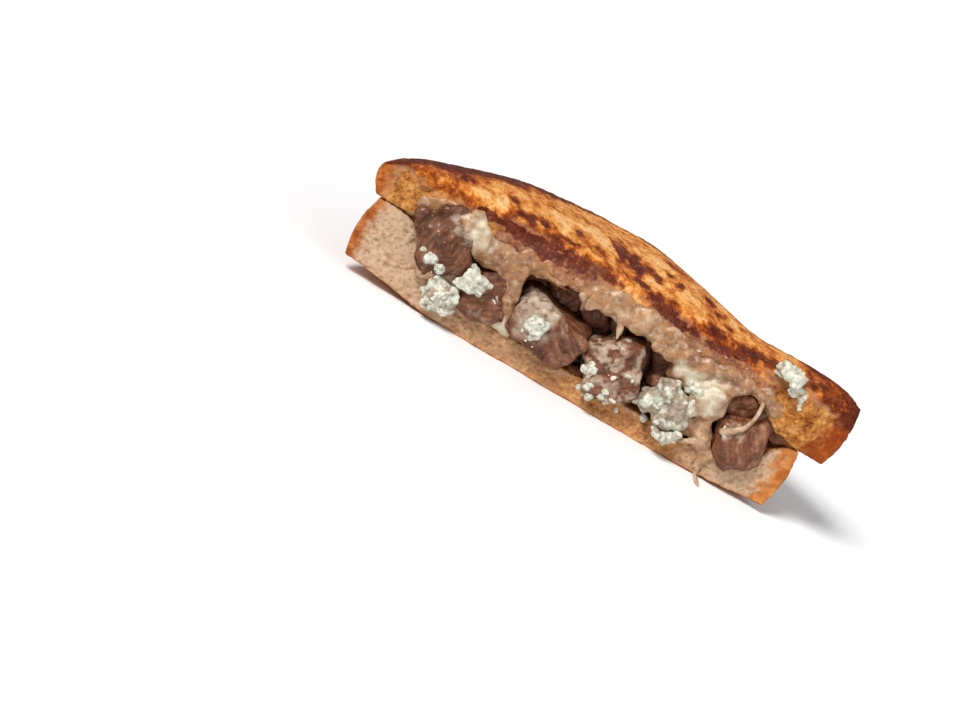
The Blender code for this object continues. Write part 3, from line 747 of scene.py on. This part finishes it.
def dress_steak(node, seed):
    fibre, film = GRAIN[node]
    rounds, relief = WORN_SMOOTH.get(node, (22, 1.0))
    piece = even_skin(node, node + "_meat", STEAK_VOXEL, rounds)
    spots, facing = points_of(piece)
    turned = along_fibres(spots, fibre)
    fibres = wave(turned, 0.9, seed, (1.0, 1.0, 6.0))
    bundles = wave(turned, 2.2, seed + 0.3, (1.0, 1.0, 3.5))
    valley = np.abs(wave(turned, 5.0, seed + 0.6, (1.0, 1.0, 1.8), 2))
    cracks = (1.0 - rise(valley, 0.0, 0.1)) * rise(wave(spots, 6.0, seed + 0.7), -0.1, 0.4)
    lumps = wave(spots, 4.0, seed + 0.8)
    depth = 0.15 * fibres + 0.34 * bundles + 0.5 * cracks - 0.9 * lumps
    depth = depth * relief - 0.35
    paint(piece, "fibres", 0.5 + 0.35 * fibres + 0.3 * bundles)
    paint(piece, "cracks", cracks)
    upper = rise(facing[:, 2] + 0.5 * wave(spots, 5.0, seed + 1.1), -0.6, 0.7)
    filmed = rise(wave(spots, 3.4, seed + 1.4, octaves=3) + 1.5 * film - 0.75, -0.1, 0.35)
    if node in FILM_AT:
        middle, reach = FILM_AT[node]
        frayed = 0.3 * wave(spots, 3.0, seed + 1.7)
        filmed *= rise(nearness(spots, middle, reach, frayed), 0.0, 0.45)
    paint(piece, "film", filmed * (0.7 + 0.3 * upper) * min(1.0, 0.4 + film))
    paint(piece, "darker", np.full(len(spots), DARKER.get(node, 0.0)))
    crumbs = np.zeros(len(spots))
    for middle, reach in CRUMBS_ON_IT.get(node, ()):
        crumbs = np.maximum(crumbs, rise(nearness(spots, middle, reach), 0.0, 0.15))
    paint(piece, "crumbs", crumbs)
    depth += crumbs * (0.5 + 0.75 * wave(spots, 1.6, 131) + 0.35 * wave(spots, 0.8, 132))
    # Painted shade: the meat darkens further in from the cut.
    paint(piece, "shade_inside", rise(spots[:, 1], -36.0, -24.0))
    settle(piece, spots - facing * depth[:, None])
    return piece


steaks = [dress_steak(node, 100 + 3 * index) for index, node in enumerate(GRAIN)]
print("steak:", sum(len(s.data.polygons) for s in steaks), "faces in", len(steaks), "pieces")

# %% [markdown]
# ## The meat's colours
# Grilled steak is a purplish brown, paler along the tops of its fibres, and its cracks are
# given a painted shade that is nearly black; further in from the cut a painted shade darkens
# it too. The film is a greyish tan, and pale flecks are partly fat and partly painted glints.
# Juices make it shine, so its roughness is low and uneven, with a thin clear coat for the wet
# spots.

# %% Mix the steak's finish
steak_finish, tree, shader, where = new_finish("grilled_steak", 0.22)
MEAT = ((0.3, (0.070, 0.020, 0.008)), (0.48, (0.145, 0.048, 0.020)),
        (0.62, (0.21, 0.080, 0.038)), (0.8, (0.33, 0.155, 0.088)))
FILM = ((0.35, (0.36, 0.235, 0.16)), (0.62, (0.52, 0.42, 0.32)))
CRUMBS = ((0.35, (0.62, 0.60, 0.50)), (0.6, (0.76, 0.74, 0.66)))
mottled = cloudy(tree, where, 520.0, 6.0, 0.65)
shade = plus(tree, painted(tree, "fibres", 0.5), times(tree, mottled, 0.6))
meat = ramp_of(tree, shade, *MEAT)
meat = tint(tree, painted(tree, "darker"), meat, colour(0.42, 0.36, 0.30), "MULTIPLY")
film = times(tree, painted(tree, "film"), patch(tree, where, 330.0, 0.38, 0.16))
meat = tint(tree, film, meat, ramp_of(tree, mottled, *FILM))
# Pale flecks: partly fat and partly painted glints.
fat_flecks_and_glints = times(tree, patch(tree, where, 1100.0, 0.66, 0.05, 2.0), 0.3)
meat = tint(tree, fat_flecks_and_glints, meat, colour(0.50, 0.40, 0.32))
# Painted shade: the cracks are darkened nearly to black.
meat = tint(tree, painted(tree, "cracks", 0.5), meat, colour(0.04, 0.012, 0.006))
# Painted shade, darker where the meat lies further in from the cut.
meat = tint(tree, painted(tree, "shade_inside", 0.3), meat, colour(0.20, 0.06, 0.02), "MULTIPLY")
meat = tint(tree, painted(tree, "crumbs"), meat, ramp_of(tree, mottled, *CRUMBS))
feed(tree, shader.inputs["Base Color"], meat)
feed(tree, shader.inputs["Roughness"], sums(tree, "MULTIPLY_ADD", mottled, 0.5, 0.2))
wet_spots = patch(tree, where, 300.0, 0.54, 0.08)
feed(tree, shader.inputs["Coat Weight"], times(tree, wet_spots, 0.4))
shader.inputs["Coat Roughness"].default_value = 0.12
feed(tree, shader.inputs["Normal"], rough_to_touch(tree, where, 1500.0, 0.00025, 0.6))
for piece, node in zip(steaks, GRAIN):
    piece.data.materials.append(steak_finish)
    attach(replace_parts(piece, node), "root")
print("steak finish:", len(tree.nodes), "nodes")

# %% [markdown]
# ## The melted cheese
# It filled every gap and then set: smooth lumps, pulled and glossy, cream where it is thick
# and tan where fat or browning stained it, while low in shadow the tan is also a painted
# shade. Deep between the pieces, at both ends and on a lump of juice it turns a greasy orange
# brown, a painted shade because little light gets there, and the soaked bread is near.

# %% Dress the melted cheese
RAN_OUT = [  # where it hangs over the edge or fills a gap: the middle and half sizes in mm
    ((-69.4, -35.9, 31.8), (2.6, 0.7, 2.4)), ((-66.0, -36.1, 33.4), (3.2, 0.9, 2.4)),
    ((-62.0, -36.6, 35.4), (3.2, 1.2, 2.0)), ((-58.0, -37.6, 36.4), (3.4, 1.7, 2.0)),
    ((-57.4, -39.0, 34.8), (2.4, 1.3, 2.4)), ((-33.0, -35.6, 32.8), (3.8, 1.4, 3.6)),
    ((-54.6, -38.8, 34.6), (3.0, 1.7, 3.2)), ((-52.4, -36.2, 36.4), (3.2, 2.6, 3.0)),
    ((-50.5, -38.0, 33.0), (3.6, 3.0, 4.6)), ((-1.0, -36.2, 36.6), (6.5, 1.9, 4.2)),
    ((10.0, -36.3, 36.2), (6.0, 2.0, 4.4)), ((20.0, -36.4, 35.6), (5.0, 2.1, 3.6)),
    ((-47.0, -38.2, 30.8), (3.4, 2.8, 5.2)), ((-43.4, -37.4, 29.4), (3.4, 2.6, 5.8)),
    ((-39.4, -37.0, 29.6), (3.4, 2.2, 5.6)), ((-35.4, -37.2, 28.6), (3.2, 2.4, 6.2)),
    ((-32.0, -37.2, 26.2), (3.2, 2.4, 6.6)), ((-30.6, -37.2, 20.0), (3.0, 2.6, 5.6)),
    ((-28.8, -36.6, 14.6), (3.2, 2.5, 5.0)), ((-31.0, -35.8, 10.6), (4.0, 2.3, 2.8)),
    ((-25.4, -36.2, 9.4), (3.0, 1.6, 2.4)),
    ((-27.0, -35.4, 32.8), (5.0, 1.4, 4.2)), ((-20.4, -35.4, 34.2), (5.0, 1.3, 3.2)),
    ((-13.6, -35.5, 34.8), (5.4, 1.3, 3.2)), ((-8.0, -36.0, 33.2), (3.0, 1.6, 5.0)),
    ((-3.0, -36.1, 34.4), (4.0, 1.6, 4.4)), ((2.6, -36.2, 33.6), (3.4, 1.7, 4.2)),
    ((8.6, -36.2, 34.0), (4.6, 1.7, 4.8)), ((14.0, -36.2, 34.0), (3.0, 1.6, 3.6)),
    ((17.6, -36.1, 32.6), (2.6, 1.7, 4.6)), ((23.0, -36.4, 32.6), (4.4, 1.8, 5.2)),
    ((29.0, -37.0, 31.4), (4.0, 2.0, 5.4)), ((34.0, -37.0, 33.0), (3.4, 1.8, 4.2)),
    ((41.0, -36.6, 35.0), (5.0, 1.7, 3.6)), ((49.0, -36.4, 35.0), (4.8, 1.6, 3.2)),
    ((56.0, -36.2, 35.0), (4.0, 1.4, 3.6)), ((61.5, -35.4, 32.6), (3.6, 2.0, 4.0)),
    ((42.6, -38.4, 27.4), (4.6, 3.0, 3.6)), ((38.6, -38.4, 24.6), (3.6, 2.8, 4.4)),
    ((37.6, -37.6, 19.6), (2.8, 2.4, 4.6)), ((43.4, -36.8, 20.4), (3.6, 2.4, 4.8)),
    ((44.6, -36.8, 14.4), (3.6, 2.2, 4.4)), ((41.2, -35.8, 12.8), (3.2, 1.8, 4.2)),
    ((47.0, -37.2, 10.4), (3.6, 1.7, 3.0)),
    ((51.0, -37.0, 8.4), (3.6, 1.3, 2.6)), ((51.0, -36.8, 4.6), (2.2, 0.9, 3.0)),
    ((-56.0, -36.6, 13.4), (5.6, 3.0, 3.2)), ((-62.0, -34.0, 14.6), (3.4, 1.6, 2.4)),
    ((-49.6, -35.4, 16.6), (3.4, 3.2, 5.0)), ((62.0, -29.0, 26.0), (6.0, 6.0, 5.5)),
    ((69.0, -29.5, 24.8), (5.0, 6.0, 4.2)), ((74.0, -30.0, 25.2), (3.6, 5.6, 2.4)),
    ((1.0, -33.4, 8.0), (4.6, 1.6, 3.0)),
    ((-76.0, -32.6, 26.4), (4.4, 3.4, 2.2)), ((-71.0, -32.8, 27.4), (4.6, 3.4, 3.6)),
    ((-66.0, -34.0, 30.0), (4.0, 3.0, 5.0)), ((-64.0, -34.6, 33.6), (4.0, 2.0, 3.0)),
]
CHEESE_VOXEL = 0.6
cheese = even_skin("melted_cheese", "melted_cheese_filling", CHEESE_VOXEL, 9, RAN_OUT)
spots, facing = points_of(cheese)
pulled = wave(spots, 4.6, 201, (1.0, 1.0, 1.4))
depth = 0.75 * pulled + 0.35 * wave(spots, 2.1, 202) + 0.1 * wave(spots, 0.9, 205)
print("relief of the cheese:", round(float(np.ptp(depth)), 1), "mm")

# %% Paint where it is deep in shade, golden, tanned and pale
# The deep mask is a painted shade: dark orange brown deep in the gaps, at both ends and on a
# lump of juice.
JUICE_IN_SHADE, JUICE_IN_SHADE_REACH = np.array((1.0, -34.0, 8.0)), 7.0
deep = rise(spots[:, 1] + 1.4 * wave(spots, 3.0, 203), -34.6, -31.6)
left_end = rise(-spots[:, 0], 61.0, 65.0) * rise(spots[:, 1], -36.2, -35.2)
right_end = rise(spots[:, 0], 64.0, 66.0)
juice_in_shade = rise(JUICE_IN_SHADE_REACH - np.linalg.norm(spots - JUICE_IN_SHADE, axis=1), 0.0, 2.0)
paint(cheese, "deep", np.maximum.reduce((deep, juice_in_shade, left_end, right_end)))
golden = 1.2 * rise(-spots[:, 0], 58.0, 64.0) + 0.4 * rise(
    -np.abs(spots[:, 0] + 22.0), -11.0, -5.0)
paint(cheese, "fatty", rise(wave(spots, 3.2, 206, octaves=3), -0.05, 0.4) + golden)
# The tan is partly the cheese's own and partly a painted shade, where it lies low in shadow.
CHEESE_TAN_AND_SHADE = line((-72.0, 0.2), (-56.0, 0.3), (-51.0, 0.2), (-47.0, 0.3), (-39.0, 0.9),
                     (-14.0, 1.0), (-8.0, 0.3), (14.0, 0.15), (21.0, 0.5), (30.0, 0.95),
                     (60.0, 0.85))
tanned = CHEESE_TAN_AND_SHADE(spots[:, 0]) * rise(spots[:, 2], 13.0, 19.0)
tanned += 0.45 * wave(spots, 3.6, 207)
paint(cheese, "tanned", tanned)
PALE = [((40.5, -38.0, 26.0), 8.0), ((37.0, -38.0, 19.0), 5.0), ((-49.5, -38.0, 33.0), 6.5),
        ((-28.0, -37.0, 11.0), 5.5), ((28.0, -37.0, 29.0), 4.0), ((34.0, -38.0, 27.6), 5.0)]
pale = np.zeros(len(spots))
frayed = 0.35 * wave(spots, 3.0, 204)
for middle, reach in PALE:
    pale = np.maximum(pale, rise(nearness(spots, middle, reach, frayed), -0.1, 0.7))
paint(cheese, "pale", pale)
settle(cheese, spots - facing * depth[:, None])
print("melted cheese:", len(cheese.data.polygons), "faces")

# %% Mix the melted cheese's finish
cheese_finish, tree, shader, where = new_finish("melted_cheese", 0.5)
MELT = ((0.3, (0.25, 0.115, 0.050)), (0.48, (0.39, 0.215, 0.105)), (0.68, (0.54, 0.36, 0.21)))
CREAM = ((0.3, (0.44, 0.33, 0.195)), (0.6, (0.66, 0.58, 0.43)))
TAN = ((0.36, (0.150, 0.050, 0.020)), (0.64, (0.34, 0.155, 0.064)))
DEEP = ((0.35, (0.085, 0.020, 0.004)), (0.6, (0.22, 0.062, 0.012)))
mottled = cloudy(tree, where, 380.0, 5.0, 0.6)
melt = tint(tree, painted(tree, "tanned", 0.85), ramp_of(tree, mottled, *MELT),
            ramp_of(tree, mottled, *TAN))
melt = tint(tree, painted(tree, "fatty", 0.65), melt, colour(0.38, 0.165, 0.050))
creamy = times(tree, patch(tree, where, 480.0, 0.58, 0.06), 0.45)
melt = tint(tree, creamy, melt, colour(0.60, 0.47, 0.33))
melt = tint(tree, painted(tree, "pale"), melt, ramp_of(tree, mottled, *CREAM))
# Painted shade: where the deep mask lies, the cheese turns a dark orange brown.
melt = tint(tree, painted(tree, "deep"), melt, ramp_of(tree, mottled, *DEEP))
feed(tree, shader.inputs["Base Color"], melt)
feed(tree, shader.inputs["Roughness"], plus(tree, painted(tree, "deep", 0.35), 0.2))
shader.inputs["Subsurface Weight"].default_value = 0.1
shader.inputs["Subsurface Radius"].default_value = (0.002, 0.001, 0.0006)
feed(tree, shader.inputs["Normal"], rough_to_touch(tree, where, 800.0, 0.0004, 0.6))
cheese.data.materials.append(cheese_finish)
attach(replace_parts(cheese, "melted_cheese"), "root")
print("cheese finish:", len(tree.nodes), "nodes")

# %% [markdown]
# ## Crumbled blue cheese
# It doesn't melt like the rest: it stays in moist, chalky crumbs, each a heap of little
# grains. Balls that stick to the solid's faces melt into its skin as those grains, and
# round cells sink the seams between them. The veins and a few dark specks of mould are what
# make it look blue, a grey green that is never strong, and the seams get a painted shade of
# that grey green.

# %% Dress the crumbles
dice = random.Random(7)


def heaped(node, count, size):
    """Balls on the solid's own faces, as if grains stuck to it."""
    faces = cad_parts[node].data.polygons
    picked = [dice.choice(faces) for _ in range(count)]
    return [(face.center / MM + face.normal * dice.uniform(-1.1, -0.1),
             [size * dice.uniform(0.55, 1.15) for _ in "xyz"]) for face in picked]


# How much stain each crumble gets: partly real stain and partly a painted shade.
STAINED_AND_SHADED = {"blue_cheese_4": 0.8, "blue_cheese_5": 0.2, "blue_cheese_2": 0.15,
           "blue_cheese_1": 0.42}
SAGGED = [  # where the crumble on the toast lies on its edge
    ((56.6, -33.8, 43.2), (2.6, 2.4, 1.2)), ((61.0, -33.6, 43.0), (3.0, 2.6, 1.3)),
    ((64.0, -35.4, 42.2), (2.2, 1.8, 1.6)), ((62.6, -37.0, 41.6), (2.4, 1.4, 2.2)),
]
FINE = ("blue_cheese_2", "blue_cheese_3", "blue_cheese_6")
CRUMBLE_VOXEL = 0.28


def dress_crumble(node, seed):
    largest = node == "blue_cheese_4"
    lumps = heaped(node, 34 if largest else 20, 1.4 if node in FINE else 1.7)
    if node == "blue_cheese_6":
        lumps += SAGGED
    piece = even_skin(node, node + "_crumble", CRUMBLE_VOXEL, 12 if largest else 6, lumps)
    spots, facing = points_of(piece)
    nubs, grains = cells(spots, 2.3, seed), cells(spots, 0.95, seed + 1)
    depth = 0.14 * (nubs - 0.35) + 0.38 * wave(spots, 1.9, seed + 4) + 0.16 * wave(
        spots, 0.8, seed + 5) + 0.1
    # The seams between the grains get a painted shade, grey green.
    paint(piece, "seam_shade", rise(nubs, 0.42, 0.8) * 0.4 + rise(grains, 0.5, 0.85) * 0.25)
    paint(piece, "veins", rise(wave(spots, 3.4, seed + 2, octaves=3), 0.05, 0.6))
    # The stain is partly real and partly a painted shade.
    stain_and_shade_level = wave(spots, 3.4, seed + 3, octaves=3) + STAINED_AND_SHADED.get(node, 0.0)
    paint(piece, "stain_and_shade", rise(stain_and_shade_level, 0.45, 0.7))
    settle(piece, spots - facing * depth[:, None])
    return piece


CRUMBLED = ["blue_cheese_%d" % n for n in range(1, 7)]
crumbles = [dress_crumble(node, 300 + 4 * index) for index, node in enumerate(CRUMBLED)]
print("crumbles:", sum(len(c.data.polygons) for c in crumbles), "faces")

# %% Mix the blue cheese's finish
blue_finish, tree, shader, where = new_finish("blue_cheese", 0.4)
CHALK = ((0.3, (0.48, 0.455, 0.36)), (0.5, (0.62, 0.60, 0.50)), (0.7, (0.73, 0.72, 0.64)))
STAIN_AND_SHADE = ((0.35, (0.17, 0.095, 0.055)), (0.65, (0.36, 0.26, 0.165)))
mottled = cloudy(tree, where, 900.0, 4.0, 0.6)
chalk = ramp_of(tree, mottled, *CHALK)
# Painted shade: the seams are darkened grey green.
chalk = tint(tree, painted(tree, "seam_shade"), chalk, colour(0.50, 0.49, 0.37), "MULTIPLY")
chalk = tint(tree, painted(tree, "veins", 0.75), chalk, colour(0.35, 0.38, 0.29))
# A brownish stain, partly real and partly a painted shade.
chalk = tint(tree, painted(tree, "stain_and_shade", 0.8), chalk, ramp_of(tree, mottled, *STAIN_AND_SHADE))
mould = times(tree, patch(tree, where, 620.0, 0.66, 0.03, 2.0), 0.65)
chalk = tint(tree, mould, chalk, colour(0.13, 0.16, 0.14))
feed(tree, shader.inputs["Base Color"], chalk)
shader.inputs["Roughness"].default_value = 0.5
shader.inputs["Subsurface Weight"].default_value = 0.1
shader.inputs["Subsurface Radius"].default_value = (0.001, 0.0008, 0.0006)
feed(tree, shader.inputs["Normal"], rough_to_touch(tree, where, 1600.0, 0.0002, 0.5))
for piece, node in zip(crumbles, CRUMBLED):
    piece.data.materials.append(blue_finish)
    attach(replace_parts(piece, node), "root")
print("blue cheese finish:", len(tree.nodes), "nodes")

# %% [markdown]
# ## Strands and drips
# Thin cheese bridges the pieces: a string over the right-hand steak, short drips under the
# cheese band, and one that ran down over the lower slice. Each strand is a row of small
# overlapping balls that are melted into one by the same voxel skin, which gives the soft
# necks that real strings have.

# %% Draw the strands
STRANDS = [  # the path in mm, its thickness, how many steps it takes, and its taper
    ([(50.6, -38.8, 18.4), (52.6, -40.5, 20.6), (55.2, -40.4, 23.4), (56.4, -39.6, 26.2),
      (56.8, -38.8, 29.2), (56.6, -37.6, 32.2), (55.8, -35.8, 35.4)], 0.95, 50, 0.8),
    ([(51.4, -37.0, 3.4), (51.6, -37.6, 1.2), (51.8, -39.6, 0.8), (52.2, -42.0, 0.6),
      (52.6, -43.6, 0.5)], 0.8, 30, 0.0),
    ([(-11.6, -36.2, 32.6), (-9.6, -35.4, 30.0), (-8.8, -33.4, 27.4)], 0.95, 30, 1.0),
    ([(2.2, -36.0, 33.4), (3.8, -36.2, 30.6), (4.6, -36.6, 28.4), (5.0, -37.2, 26.4)],
     1.3, 30, 1.3),
    ([(45.2, -38.4, 11.0), (42.4, -38.0, 9.0), (40.6, -37.6, 8.2)], 1.1, 30, 0.6),
]
STRAND_VOXEL = 0.22


def strand(heap, path, thick, steps, taper):
    """Balls along a path of points. A taper makes a drip, thick where it starts."""
    for step in range(steps + 1):
        t = step / steps * (len(path) - 1)
        leg = min(int(t), len(path) - 2)
        spot = [a + (b - a) * (t - leg) for a, b in zip(path[leg], path[leg + 1])]
        swell = 0.9 + 0.12 * math.sin(9.0 * step / steps + path[0][0])
        ball_at(heap, spot, (thick * swell * (1.0 + taper * (0.5 - step / steps)),) * 3)


heap = bmesh.new()
for path, thick, steps, taper in STRANDS:
    strand(heap, path, thick, steps, taper)
strings = finer(heap, "cheese_strings", STRAND_VOXEL, 3)
strings.data.materials.append(cheese_finish)
spots, facing = points_of(strings)
settle(strings, spots)
paint(strings, "pale", 0.15 + 0.1 * rise(spots[:, 0], 30.0, 40.0))
for mask in ("tanned", "fatty", "deep"):
    paint(strings, mask, np.zeros(len(spots)))
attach(strings, "root")
print("strings:", len(strings.data.polygons), "faces")

# %% [markdown]
# ## Loose grains
# Crumbling the cheese leaves grains of one to three millimetres on everything near. They are
# small balls, dropped at seeded random places on what is in front there and sunk a little
# into it. One ball has few faces, because there are many.

# %% Find the food's front surface
IN_FRONT, TO_THE_CUT = -60.0, 22.0 * MM
SINK = -0.15
TOWARDS = Vector((math.sin(AZIMUTH) * 0.3, 1.0, -0.12)).normalized()
STRAIGHT_ON = Vector((0.0, TOWARDS.y, TOWARDS.z)).normalized()
heap = bmesh.new()
for piece in [bottom, top, cheese, *steaks, *crumbles]:
    heap.from_mesh(piece.data)
front = BVHTree.FromBMesh(heap)
heap.free()


def sunk_in(x, z):
    """The point in mm just under the food's front surface at that x and z, if it has one."""
    start = Vector((x, IN_FRONT, z)) * MM
    start -= Vector((0.0, 0.0, TOWARDS.z / TOWARDS.y * TO_THE_CUT))
    hit, facing, _, _ = front.ray_cast(start, STRAIGHT_ON)
    return None if hit is None else hit / MM + facing * SINK


print("looking along", [round(c, 2) for c in STRAIGHT_ON])

# %% Scatter the grains
CLUSTERS = [  # the middle's x and z, the spread, how many, and their size, all in mm
    (-59.0, 19.0, 2.6, 7, 1.2), (-54.8, 17.0, 2.4, 6, 1.1), (-50.0, 8.0, 5.0, 10, 1.3),
    (-43.0, 18.0, 4.0, 6, 1.2), (-20.0, 13.6, 3.0, 6, 1.1),
    (2.6, 13.0, 2.6, 10, 1.4), (6.0, 7.0, 3.6, 8, 1.5), (14.0, 7.5, 3.6, 8, 1.4),
    (13.0, 17.0, 5.0, 5, 1.0), (22.0, 12.0, 3.0, 10, 1.4), (29.0, 9.0, 3.0, 4, 1.2),
    (35.4, 25.6, 2.4, 12, 1.5), (36.4, 20.0, 2.4, 9, 1.4), (28.0, 20.0, 4.0, 7, 1.2),
    (50.6, 19.2, 1.8, 8, 1.2), (66.4, 40.2, 1.4, 5, 1.3), (67.6, 37.8, 1.0, 3, 0.9),
]
heap = bmesh.new()
for x, z, spread, count, size in CLUSTERS:
    for _ in range(count):
        spot = sunk_in(dice.gauss(x, spread * 0.5), dice.gauss(z, spread * 0.5))
        if spot is not None:
            wide = size * dice.uniform(0.45, 1.15)
            ball_at(heap, spot, (wide * dice.uniform(0.8, 1.3), wide * 0.7,
                                 wide * dice.uniform(0.7, 1.2)))
GRAIN_VOXEL = 0.26
grains = finer(heap, "cheese_grains", GRAIN_VOXEL, 3)
spots, facing = points_of(grains)
# The grains' seams get the same painted shade.
paint(grains, "seam_shade", 0.8 * rise(cells(spots, 1.1, 61), 0.45, 0.8))
settle(grains, spots - facing * (0.25 * wave(spots, 0.9, 62))[:, None])
grains.data.materials.append(blue_finish)
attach(grains, "root")
print("grains:", len(grains.data.polygons), "faces")

# %% [markdown]
# ## Floor and light
# A plain pale floor and soft light from the upper left, as in a product picture: one broad
# panel gives the shape, a weaker one fills the right-hand side, and a bright room does the
# rest. Broad panels keep the highlights on fat and cheese soft.

# %% Set the studio
FLOOR_REACH = 6.0
floor_shape = bmesh.new()
bmesh.ops.create_grid(floor_shape, x_segments=1, y_segments=1, size=FLOOR_REACH)
floor = bpy.data.objects.new("floor", bpy.data.meshes.new("floor"))
bpy.context.scene.collection.objects.link(floor)
floor_shape.to_mesh(floor.data)
floor_shape.free()
floor_finish, tree, shader, _ = new_finish("pale_floor", 0.2)
shader.inputs["Base Color"].default_value = colour(0.86, 0.86, 0.86)
shader.inputs["Roughness"].default_value = 0.7
floor.data.materials.append(floor_finish)

room = bpy.data.worlds.new("room")
bpy.context.scene.world = room
room.use_nodes = True
daylight = room.node_tree.nodes["Background"].inputs
daylight["Color"].default_value = colour(0.97, 0.98, 1.0)
daylight["Strength"].default_value = 0.42


def far_panel(name, at, strength, width):
    """Light from a far broad panel. Its width is the angle it fills, in degrees."""
    light = bpy.data.lights.new(name, "SUN")
    light.energy, light.angle = strength, math.radians(width)
    lamp = bpy.data.objects.new(name, light)
    bpy.context.scene.collection.objects.link(lamp)
    lamp.matrix_world = Matrix.LocRotScale(
        Vector(at), Vector(at).to_track_quat("Z", "Y"), None)


far_panel("window", (-0.60, -0.50, 0.80), 3.3, 20.0)
far_panel("fill", (0.7, -0.8, 0.5), 0.7, 60.0)
bpy.context.scene.view_settings.view_transform = "Standard"
